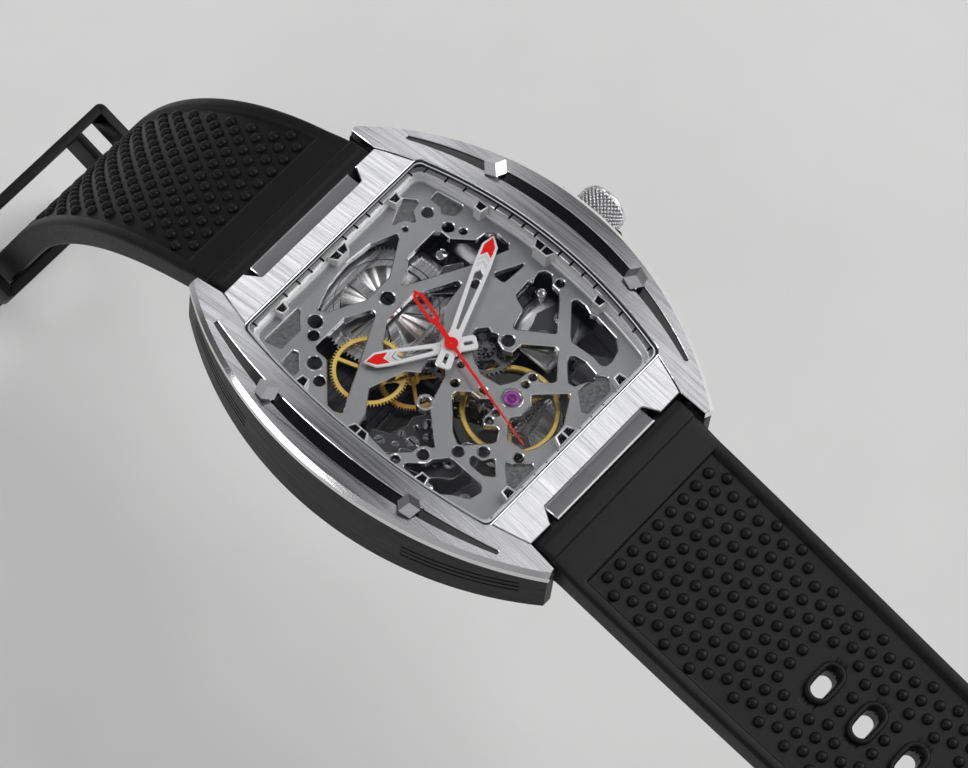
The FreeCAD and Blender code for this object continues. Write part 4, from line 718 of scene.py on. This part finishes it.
    def cutters(self):
        """Closed prisms for the slots' holes and the tang's notch."""
        ovals = [oval(*SLOT_HALF, i / 28)[:2] for i in range(28)]
        outlines = [[(x, at + along) for x, along in ovals] for at in self.slots]
        if self.notch:
            low, high, half = self.length - self.notch, self.length + 5.0, TANG_GAP[1]
            outlines.append([(half, low), (half, high), (-half, high), (-half, low)])
        verts, faces = [], []
        for outline in outlines:
            start, around = len(verts), len(outline)
            for h in (-4.0, 4.0):
                verts += [self.point(x, along, h) for x, along in outline]
            faces += ring_faces(2, around, start)
            faces.append(tuple(range(start, start + around))[::-1])
            faces.append(tuple(range(start + around, start + 2 * around)))
        return verts, faces


def oval(half_x, half_y, share):
    """Point and outward normal on a rounded oblong, at a share of the way round."""
    angle = 2 * math.pi * share
    straight = half_x - half_y
    c, s = math.cos(angle), math.sin(angle)
    x = math.copysign(straight, c) * min(1.0, abs(c) * 3) + half_y * c
    return x, half_y * s, c, s


def recalc(obj):
    """Points every face outwards."""
    work = bmesh.new()
    work.from_mesh(obj.data)
    bmesh.ops.recalc_face_normals(work, faces=work.faces)
    work.to_mesh(obj.data)
    work.free()
    return obj


def build_strap(name, strap, extra=()):
    """Strap half as one piece: band, studs, rims and fixed keeper."""
    band = recalc(mesh_object(name + "_band", *strap.band()))
    if strap.slots or strap.notch:
        knife = recalc(mesh_object(name + "_knife", *strap.cutters(), smooth=False))
        hole = band.modifiers.new("slots", "BOOLEAN")
        hole.object = knife
        hole.solver = "EXACT"
        bake(band)
        bpy.data.objects.remove(knife)
    parts = [band, recalc(mesh_object(name + "_studs", *strap.studs()))]
    if strap.slots:
        parts.append(recalc(mesh_object(name + "_rims", *strap.rims())))
    whole = join(name, parts + list(extra))
    whole.data.shade_smooth()
    smooth = whole.modifiers.new("normals", "WEIGHTED_NORMAL")
    smooth.keep_sharp = True
    return bake(whole)


def keeper(name, at, inner_half, low):
    """Rounded rubber loop round the strap."""
    outline = []
    wall, radius = 1.2, 0.9
    right, top, under = inner_half + wall - radius, KEEPER_ROOF + wall - radius, low - wall + radius
    corners = [(right, top, 0), (-right, top, 90), (-right, under, 180), (right, under, 270)]
    for x, h, turn in corners:
        for step in range(0, 91, 18):
            a = math.radians(turn + step)
            outline.append(((x, h), (math.cos(a), math.sin(a))))
    half = KEEPER_WIDE / 2
    right_side = [(half - 0.4, 0.0), (half - 0.12, -0.1), (half, -0.35), (half, -wall + 0.1),
                  (half - 0.2, -wall)]
    left_side = [(-along, depth) for along, depth in right_side]
    profile = left_side[3::-1] + right_side + left_side[4:]
    verts, faces = [], []
    for (x, h), (nx, nh) in outline:
        for along, depth in profile:
            r = radius + depth
            verts.append(on_strap(PATH_12, 1, x + nx * r, at + along, h + nh * r))
    wide = len(profile)
    for i in range(len(outline)):
        a, b = i * wide, (i + 1) % len(outline) * wide
        for k in range(wide):
            m = (k + 1) % wide
            faces.append((a + k, b + k, b + m, a + m))
    return recalc(mesh_object(name, verts, faces))


def make_straps():
    """Both strap halves and the sliding keeper."""
    upper = Strap(PATH_12, 1, TIP_WIDTH_12, FIELD_STOP_12, notch=TANG_GAP[0])
    loop = keeper("fixed_keeper", FIXED_KEEPER_AT, FIXED_KEEPER_HALF, -STRAP_HALF + 0.05)
    place(build_strap("strap_12_rubber", upper, [loop]), "upper_strap", RUBBER, "strap_rubber", "strap_12")
    slots = [SLOT_FIRST + i * SLOT_PITCH for i in range(SLOT_COUNT)]
    lower = Strap(PATH_6, -1, TIP_WIDTH_6, path_length(PATH_6) - FIELD_MARGIN_6, slots)
    place(build_strap("strap_6_rubber", lower), "lower_strap", RUBBER, "strap_rubber", "strap_6")
    ring = keeper("sliding_keeper_rubber", SLIDING_KEEPER_AT, SLIDING_KEEPER_HALF, -STRAP_HALF - 0.25)
    place(ring, "keeper", RUBBER, "strap_rubber", "sliding_keeper")


# ---- flat outlines for small pieces
def prism(name, outline, z0, z1, bevel=0.0, centre=(0, 0), turn=0.0):
    """Upright prism from an outline in mm, turned about the hands' axis and moved."""
    c, s = math.cos(math.radians(turn)), math.sin(math.radians(turn))
    points = [(centre[0] + x * c - y * s, centre[1] + x * s + y * c) for x, y in outline]
    count = len(points)
    verts = [(x, y, z0) for x, y in points] + [(x, y, z1) for x, y in points]
    faces = [tuple(range(count))[::-1], tuple(range(count, 2 * count))] + ring_faces(2, count)
    obj = recalc(mesh_object(name, verts, faces, smooth=False))
    if bevel:
        edges = obj.modifiers.new("edges", "BEVEL")
        edges.width = bevel * MM
        edges.segments = 2
        edges.limit_method = "ANGLE"
        bake(obj)
    return obj


def make_hand_marks():
    """Red arrowheads and white chevrons set into the minute and hour hands."""
    half = 0.62
    for body, length, z, turn in (("minute", MINUTE_LENGTH, MINUTE_Z, MINUTE_ANGLE),
                                  ("hour", HOUR_LENGTH, HOUR_Z, HOUR_ANGLE)):
        top = z + HAND_THICK
        tip = length - 0.35
        arrow = [(tip, 0), (tip - 1.1, half), (tip - 2.5, half), (tip - 1.9, 0), (tip - 2.5, -half),
                 (tip - 1.1, -half)]
        red = prism(body + "_red_tip", arrow, top - 0.05, top + 0.05, 0.03, turn=turn)
        place(red, body, RED, "red_lacquer")
        chevrons = []
        for i in range(2):
            back = tip - 2.75 - 0.75 * i
            shape = [(back, half), (back - 0.45, half), (back + 0.15, 0), (back - 0.45, -half),
                     (back, -half), (back + 0.6, 0)]
            chevrons.append(prism("chevron", shape, top - 0.05, top + 0.04, 0.02, turn=turn))
        place(join(body + "_chevrons", chevrons), body, WHITE, "hand_white")


def side_x(y, inset):
    """Half width of the crystal opening at y, moved inwards."""
    end, middle, length = (value - inset for value in OPENING)
    radius = (length ** 2 + (middle - end) ** 2) / (2 * (middle - end))
    return middle - radius + math.sqrt(radius ** 2 - y ** 2)


def curved_top(y, depth):
    """Height at y of the surface a depth under the watch's curved top."""
    return TOP_Z - TOP_R + math.sqrt((TOP_R - depth) ** 2 - y ** 2)


def ring_top(y):
    """Height of the chapter ring's top."""
    return curved_top(y, CHAPTER_UNDER)


def make_minute_ticks():
    """Dark minute strokes across the chapter ring's top."""
    inset = 0.12
    stroke = [(-0.7, -0.11), (0.0, -0.11), (0.0, 0.11), (-0.7, 0.11)]
    ticks = []
    for minute in range(60):
        if minute % 5 == 0:
            continue
        angle = math.radians(90 - 6 * minute)
        c, s = math.cos(angle), math.sin(angle)
        y = math.copysign(OPENING[2] - inset, s)
        x = y * c / s if abs(s) > 0.05 else 99.0
        turn = 90 if s > 0 else 270
        if abs(x) > side_x(y, 0.9):
            x = math.copysign(OPENING[1], c)
            for _ in range(8):
                y = x * s / c
                x = math.copysign(side_x(y, inset), c)
            turn = 0 if c > 0 else 180
        if abs(y) > OPENING[2] - 0.9 and turn in (0, 180):
            continue
        tick = prism("tick", stroke, -0.12, 0.03, centre=(x, y), turn=turn)
        for vertex in tick.data.vertices:
            vertex.co.z += ring_top(vertex.co.y / MM) * MM
        ticks.append(tick)
    place(join("minute_ticks", ticks), "case", BLACK_GLOSS, "black_gloss")


def make_marker_inlays():
    """Black enamel in the windows of the hour markers."""
    inlays = []
    for x, y, turn in MARKER_AT:
        double = abs(x) < 1 or abs(y) < 1
        sides = (1, -1) if double else (0,)
        top = min(ring_top(abs(y) + 0.6), ring_top(y)) - 0.12
        for side in sides:
            outline = [(-0.44, side * 0.11), (0.41, side * 0.11), (0.41, side * 1.22), (-0.44, side * 0.78)]
            if not double:
                outline = [(-0.44, -0.33), (0.41, -0.54), (0.41, 0.54), (-0.44, 0.33)]
            inlays.append(prism("inlay", outline, 8.02, top, centre=(x, y), turn=turn))
    place(join("marker_inlays", inlays), "case", BLACK_GLOSS, "black_gloss")


def make_crown_knurl():
    """Diamond knurling round the crown, with smooth rims."""
    low, high = CROWN_X
    around, rows = 288, 56
    verts = []
    profile = [(low + 0.02, 2.2), (low + 0.05, 2.45), (low + 0.3, 2.68)]
    knurl = [(low + 0.45 + (high - low - 1.15) * i / rows, None) for i in range(rows + 1)]
    cap = [(high - 0.62, 2.7), (high - 0.5, 2.78), (high - 0.3, 2.74), (high - 0.12, 2.5),
           (high - 0.03, 2.2), (high - 0.02, 1.9), (high - 0.12, 1.75), (high - 0.14, 0.9),
           (high - 0.1, 0.6), (high - 0.1, 0.02)]
    lines = profile + knurl + cap
    for x, radius in lines:
        for k in range(around):
            a = 2 * math.pi * k / around
            r = radius
            if radius is None:
                u = (x - low) * 3.4
                v = a * 31 / math.pi
                ridge = min(abs(math.sin(math.pi * (u + v) / 2)), abs(math.sin(math.pi * (u - v) / 2)))
                r = CROWN_R - 0.34 + 0.32 * ridge ** 0.8
            verts.append((x, r * math.cos(a), STEM_Z + r * math.sin(a)))
    faces = ring_faces(len(lines), around)
    faces.append(tuple(range(len(verts) - around, len(verts))))
    shell = recalc(mesh_object("crown_knurled", verts, faces))
    place(shell, "winding_crown", CROWN_STEEL, "polished_steel", "crown")


def barrel_outline(inset, corner=0.9, steps=24):
    """Points round the crystal opening moved inwards, anticlockwise from the right side's low end."""
    straight = OPENING[2] - inset - corner
    right = [(side_x(straight * (2 * i / steps - 1), inset), straight * (2 * i / steps - 1))
             for i in range(steps + 1)]
    end_x = right[-1][0] - corner
    bend = [(end_x + corner * math.cos(math.radians(a)), straight + corner * math.sin(math.radians(a)))
            for a in (15, 30, 45, 60, 75, 90)]
    half = right[steps // 2:] + bend
    top_left = [(-x, y) for x, y in reversed(half)]
    low = [(x, -y) for x, y in reversed(half)]
    low_left = [(-x, -y) for x, y in half]
    return half + top_left[:-1] + low_left[1:] + low[:-1]


def curved_ring(name, outer, inner, depth_outer, depth_inner, thick):
    """Band along the opening's edge that follows the curved top."""
    verts, faces = [], []
    lines = [(outer, depth_outer), (inner, depth_inner), (inner, depth_inner + thick),
             (outer, depth_outer + thick)]
    outlines = [barrel_outline(inset) for inset, _ in lines]
    for outline, (_, depth) in zip(outlines, lines):
        verts += [(x, y, curved_top(y, depth)) for x, y in outline]
    count = len(outlines[0])
    for k in range(4):
        for i in range(count):
            j = (i + 1) % count
            a, b = k * count, (k + 1) % 4 * count
            faces.append((a + i, a + j, b + j, b + i))
    ring = recalc(mesh_object(name, verts, faces))
    ring.data.set_sharp_from_angle(angle=math.radians(28))
    return ring


def make_crystal_edge():
    """Bevel round the crystal in pale opaque lacquer, a painted highlight of the glass's bright edge, and
    the fine steel line beside it.
    """
    place(curved_ring("crystal_bevel", 0.3, 0.42, 0.14, 0.05, 0.1), "case", CRYSTAL_EDGE_PAINTED_HIGHLIGHT, "crystal")
    place(curved_ring("opening_line", 0.0, 0.09, 0.02, 0.06, 0.2), "case", POLISHED, "polished_steel")


# Levers and covers under the skeleton plate: outline, low and high
LEVERS = (
    ([(-12.9, 0.6), (-11.4, 0.9), (-10.6, -0.8), (-8.6, -1.6), (-7.4, -1.4), (-6.0, -2.4), (-6.4, -4.4),
      (-8.0, -5.6), (-10.0, -4.6), (-12.0, -3.0), (-13.2, -1.4)], 4.0, 4.3),
    ([(-4.4, -11.2), (-1.8, -10.6), (-0.5, -11.9), (-1.7, -13.6), (-3.4, -13.2), (-4.6, -12.4)], 3.6, 3.9),
    ([(-13.4, -3.6), (-11.6, -3.2), (-9.8, -6.2), (-8.2, -7.6), (-6.4, -7.8), (-5.6, -9.2),
      (-7.6, -10.6), (-10.6, -9.8), (-12.6, -7.4)], 5.2, 5.6),
    ([(-12.6, -10.4), (-9.2, -11.4), (-7.4, -12.6), (-7.8, -15.2), (-11.6, -15.4), (-13.0, -13.2)],
     4.6, 5.0),
    ([(7.0, -4.4), (10.6, -3.2), (13.6, -4.2), (13.4, -7.4), (10.4, -8.6), (8.0, -7.0)], 4.9, 5.3),
    ([(3.9, 6.6), (6.9, 3.6), (8.6, 3.9), (8.4, 5.4), (9.6, 6.4), (7.7, 7.7)], 5.95, 6.2),
    ([(7.2, -11.2), (10.8, -10.4), (12.4, -12.8), (11.2, -15.6), (7.6, -15.4)], 4.6, 5.0),
)
# Place, height and radius of the screws on them
LEVER_SCREWS = (
    (-12.0, -0.6, 4.3, 0.5), (-11.2, -2.2, 4.3, 0.34), (-9.9, -1.9, 4.3, 0.42), (-9.8, -3.4, 4.3, 0.6),
    (-8.2, -2.6, 4.3, 0.3), (-8.2, -4.2, 4.3, 0.42), (-7.0, -3.2, 4.3, 0.5), (-2.6, -12.2, 3.9, 0.5),
    (-11.6, -5.2, 5.6, 0.62), (-9.4, -8.2, 5.6, 0.55), (-7.2, -9.2, 5.6, 0.42), (-12.6, -4.2, 5.6, 0.3),
    (-11.4, -12.2, 5.0, 0.6), (-9.0, -14.0, 5.0, 0.5), (9.0, -5.6, 5.3, 0.6), (12.0, -5.6, 5.3, 0.6),
    (7.2, 5.4, 6.2, 0.45), (9.6, -13.4, 5.0, 0.6), (10.9, -7.0, 5.3, 0.35), (-10.6, -7.2, 5.6, 0.3),
)
# Posts between the bridges: place, low, high and radius
STUDS_UNDER = ((12.9, -2.0, 3.0, 5.6, 0.7), (9.2, 9.2, 3.0, 5.2, 0.8), (12.4, 5.2, 3.0, 5.4, 0.75),
               (-13.1, -8.4, 3.0, 5.4, 0.65), (6.6, -11.6, 3.0, 4.4, 0.5))


def turned(name, x, y, profile, around=36, sharp=32):
    """Surface of revolution about a vertical axis, from (radius, height) points."""
    verts = []
    for radius, height in profile:
        for k in range(around):
            angle = 2 * math.pi * k / around
            verts.append((x + radius * math.cos(angle), y + radius * math.sin(angle), height))
    shape = mesh_object(name, verts, ring_faces(len(profile), around))
    if sharp:
        shape.data.set_sharp_from_angle(angle=math.radians(sharp))
    return shape


def ringed_screw(x, y, z, radius):
    """Screw head with a rounded rim, a slot and a polished washer."""
    shares = [(1.3, -0.3), (1.3, 0.02), (1.22, 0.06), (1.08, 0.06), (1.02, 0.0), (1.0, 0.0), (1.0, 0.1),
              (0.88, 0.16), (0.3, 0.16)]
    profile = [(radius * share, z + lift) for share, lift in shares] + [(0.01, z + 0.16)]
    head = turned("screw", x, y, profile, 28, 35)
    long, wide = radius * 0.85, radius * 0.14
    slot = prism("slot", [(-long, -wide), (long, -wide), (long, wide), (-long, wide)], z + 0.1, z + 0.168,
                 centre=(x, y), turn=math.degrees(x * 3.1 + y * 1.7))
    return head, slot


def domed_post(x, y, low, high, radius):
    """Turned post with a groove and a domed top."""
    shares = [(1.0, -0.9), (0.8, -0.8), (0.8, -0.6), (1.0, -0.5), (1.0, -0.12), (0.9, -0.02), (0.6, 0.05),
              (0.25, 0.08)]
    profile = [(radius, low)] + [(radius * share, high + lift) for share, lift in shares]
    return turned("post", x, y, profile + [(0.01, high + 0.085)], 28, None)


def make_barrel_disc():
    """Sunburst disc with broad blades of painted highlight, between the mainspring and the barrel's cover,
    with a stepped rim.
    """
    x, y = BARREL
    profile = [(0.85, 5.47), (0.85, 5.53), (1.5, 5.53), (1.55, 5.5), (5.0, 5.5), (5.05, 5.54), (5.3, 5.54),
               (5.35, 5.49), (5.5, 5.49), (5.5, 5.47)]
    place(turned("barrel_sunburst_painted_highlight", x, y, profile, 96), "barrel", SUNBURST_PAINTED_HIGHLIGHT, "brushed_steel")


def make_jewel_setting():
    """Polished setting ring round the large jewel, and its oil sink."""
    x, y = BALANCE
    ring = [(1.0, 7.66), (1.28, 7.66), (1.28, 7.74), (1.2, 7.8), (1.06, 7.8), (1.0, 7.74), (1.0, 7.66)]
    sink = [(0.5, 7.72), (0.52, 7.8), (0.4, 7.82), (0.3, 7.79), (0.2, 7.765), (0.19, 7.74)]
    place(turned("jewel_setting", x, y, ring), "case", POLISHED, "polished_steel")
    place(turned("jewel_sink", x, y, sink), "case", JEWEL_GLASS, "ruby")


def make_levers():
    """Levers, covers and screws of the keyless works and the train's far side."""
    levers = [prism("lever", outline, low, high, 0.12) for outline, low, high in LEVERS]
    place(join("movement_levers", levers), "case", LEVER_STEEL, "brushed_steel")
    pairs = [ringed_screw(*screw) for screw in LEVER_SCREWS]
    place(join("movement_screws", [head for head, _ in pairs]), "case", POLISHED, "polished_steel")
    place(join("movement_screw_slots", [slot for _, slot in pairs]), "case", BLACK_GLOSS, "black_gloss")
    posts = [domed_post(*post) for post in STUDS_UNDER]
    place(join("movement_posts", posts), "case", POLISHED, "polished_steel")


# Name, range across, range along, height and rise
DOMES = (("click_cover", (5.6, 8.2), (6.0, 10.9), 4.7, 0.9),
         ("winding_cover", (6.3, 13.6), (-8.7, -1.75), 4.6, 0.45),
         ("side_cover", (10.9, 14.4), (4.0, 9.6), 3.4, 0.9))


def make_side_domes():
    """Smooth rounded covers under the plate's right-hand openings."""
    for name, (x0, x1), (y0, y1), z, rise in DOMES:
        verts, faces = [], []
        across, along = 16, 6
        for i in range(across + 1):
            for j in range(along + 1):
                u, v = i / across, j / along
                lift = rise * math.sin(math.pi * u) - 0.15 * (abs(v - 0.5) * 2) ** 4
                verts.append((x0 + (x1 - x0) * u, y0 + (y1 - y0) * v, z + lift))
        for i in range(across):
            for j in range(along):
                a = i * (along + 1) + j
                faces.append((a, a + along + 1, a + along + 2, a + 1))
        cover = mesh_object(name, verts, faces)
        shell = cover.modifiers.new("thickness", "SOLIDIFY")
        shell.thickness = 0.25 * MM
        shell.offset = -1
        place(bake(cover), "case", COVER_STEEL, "polished_steel")


# ---- looks of the CAD nodes
# Drawn again with cut edges: node, body, width of the cut, material and slot
CHAMFERED = (
    ("front_plate", "case", 0.11, PLATE_STEEL, "blasted_steel"),
    ("chapter_ring", "case", 0.06, RING_STEEL, "polished_steel"),
    ("centre_frame", "case", 0.1, FRAME_STEEL, "brushed_steel"),
    ("rail_left", "case", 0.07, RAIL_STEEL, "brushed_steel"),
    ("rail_right", "case", 0.07, RAIL_STEEL, "brushed_steel"),
    ("lug_bars", "case", 0.1, BAR_STEEL, "polished_steel"),
    ("minute_hand", "minute", 0.08, HAND_STEEL, "hand_white"),
    ("hour_hand", "hour", 0.08, HAND_STEEL, "hand_white"),
    ("second_hand", "seconds", 0.05, RED, "red_lacquer"),
    ("balance_wheel", "balance", 0.1, GOLD, "gold"),
    ("intermediate_wheel", "intermediate", 0.04, GOLD, "gold"),
    ("third_wheel", "third", 0.04, AMBER, "gold"),
    ("barrel_cover", "barrel", 0.06, WHEEL_STEEL, "brushed_steel"),
    ("barrel_bridge", "case", 0.1, BRIDGE_STEEL, "brushed_steel"),
    ("train_bridge", "case", 0.1, BRIDGE_STEEL, "brushed_steel"),
)

# Shown as they are, with a new material
CARRIED = {
    POLISHED: ("rail_studs", "buckle_frame", "buckle_tang", "case_back_screws", "spring_bars",
               "crown_tube", "bridge_screws", "winding_stem", "intermediate_pinion", "third_pinion",
               "seconds_arbor", "escape_wheel", "pallet_fork", "balance_staff", "cannon_pinion",
               "buckle_pin"),
    BLACK_CASE: ("middle_case",),
    STEEL: ("case_back_ring",),
    ROTOR: ("rotor_arm", "rotor_weight"),
    BRIDGE_STEEL: ("balance_cock",),
    BLACK_GLOSS: ("rail_inlays",),
    CRYSTAL: ("front_crystal",),
    SMOKED: ("back_crystal",),
    GASKET: ("crystal_gasket",),
    # painted shade on the parts deep in the plate's holes
    SHADOW_STEEL: ("front_plate_screws", "plate_pillars", "barrel_arbor"),
    RING_BLACK: ("movement_ring",),
    RUBY: ("pivot_jewels",),
    WHEEL_STEEL: ("barrel_drum", "ratchet_wheel", "crown_wheel"),
    DARK_STEEL: ("mainspring", "winding_pinion", "setting_lever", "seconds_wheel", "hairspring",
                 "minute_wheel", "hour_wheel"),
}


def make_crisp_nodes():
    """Stands a chamfered piece in for each node of CHAMFERED."""
    for node, body, width, material, slot in CHAMFERED:
        place(chamfered(node, width), body, material, slot, node)


def finish_carried_nodes():
    """Gives each node of CARRIED its material."""
    for material, nodes in CARRIED.items():
        for node in nodes:
            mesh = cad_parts[node].data
            mesh.materials.clear()
            mesh.materials.append(material)


# ---- floor, light and camera
def make_stage():
    """Plain pale floor under the watch."""
    corners = [(-3.0, -3.0), (3.0, -3.0), (3.0, 3.0), (-3.0, 3.0)]
    mesh = bpy.data.meshes.new("floor")
    mesh.from_pydata([(x, y, CAD_BOX[0].z) for x, y in corners], [], [(0, 1, 2, 3)])
    floor = linked("floor", mesh)
    material, tree, shader = new_material("floor_paper", (0.8, 0.8, 0.79), roughness=0.75)
    mottle = grain(tree, 40.0, 3.0)
    drive(tree, shader, mix(tree, ramp(tree, mottle), (0.79, 0.79, 0.78), (0.82, 0.82, 0.81)))
    mesh.materials.append(material)


def area_light(name, position, size, power, aim=(0, 0, 0.005)):
    """Rectangular light that faces the case."""
    data = bpy.data.lights.new(name, "AREA")
    data.shape = "RECTANGLE"
    data.size, data.size_y = size
    data.energy = power
    light = linked(name, data)
    light.location = position
    light.rotation_euler = (Vector(aim) - Vector(position)).to_track_quat("-Z", "Y").to_euler()


# Name, position, size and power; the two keys lie where the flat tops mirror the camera's direction
LIGHTS = (("key_far", (0.27, 0.4, 0.53), (0.3, 0.18), 0.5),
          ("key_near", (0.27, -0.1, 0.64), (0.3, 0.18), 0.5),
          ("top_box", (0.9, -0.6, 0.8), (0.8, 0.7), 8.0),
          ("left_strip", (-0.5, 0.25, 0.16), (0.5, 0.1), 0.6),
          ("front_fill", (0.25, -0.75, 0.4), (0.4, 0.25), 0.4),
          ("rim_left", (-0.56, 0.2, 0.54), (0.35, 0.35), 0.32),
          ("rim_right", (0.63, -0.4, 0.29), (0.35, 0.25), 0.3))


def make_lights():
    """Grey studio world that darkens to the top and the floor, and the lights."""
    world = bpy.data.worlds.new("studio")
    world.use_nodes = True
    tree = world.node_tree
    sky = add(tree, "ValToRGB")
    sky.color_ramp.interpolation = "EASE"
    for position, value in ((0.12, 0.1), (0.38, 0.34), (0.62, 0.42), (0.78, 0.36)):
        sky.color_ramp.elements.new(position).color = (value, value, value * 1.02, 1)
    sky.color_ramp.elements[0].color = (0.08, 0.08, 0.08, 1)
    sky.color_ramp.elements[-1].color = (0.17, 0.17, 0.175, 1)
    sky.color_ramp.elements[-1].position = 0.88
    tree.links.new(component(tree, "Generated", "Z"), sky.inputs["Fac"])
    tree.links.new(sky.outputs["Color"], tree.nodes["Background"].inputs["Color"])
    bpy.context.scene.world = world
    for light in LIGHTS:
        area_light(*light)


CAMERA_AT = (-0.2242, -0.1524, 0.5317)
CAMERA_RIGHT = Vector((0.655, -0.753, 0.068))
CAMERA_FORWARD = Vector((0.38, 0.25, -0.891))
CAMERA_LENS = 205.1


def make_camera():
    """Camera above the 9 o'clock side, with its right side down towards 6 o'clock."""
    data = bpy.data.cameras.new("camera")
    data.lens = CAMERA_LENS
    data.sensor_width = 36.0
    data.clip_start = 0.01
    camera = linked("camera", data)
    back = -CAMERA_FORWARD.normalized()
    right = (CAMERA_RIGHT - back * CAMERA_RIGHT.dot(back)).normalized()
    up = back.cross(right)
    axes = Matrix((right, up, back)).transposed().to_4x4()
    camera.matrix_world = Matrix.Translation(CAMERA_AT) @ axes
    bpy.context.scene.camera = camera
    bpy.context.scene.view_settings.view_transform = "Standard"


make_camera()
make_lights()
make_stage()
finish_carried_nodes()
make_crisp_nodes()
make_straps()
make_hand_marks()
make_minute_ticks()
make_marker_inlays()
make_crystal_edge()
make_barrel_disc()
make_jewel_setting()
make_levers()
make_side_domes()
make_crown_knurl()
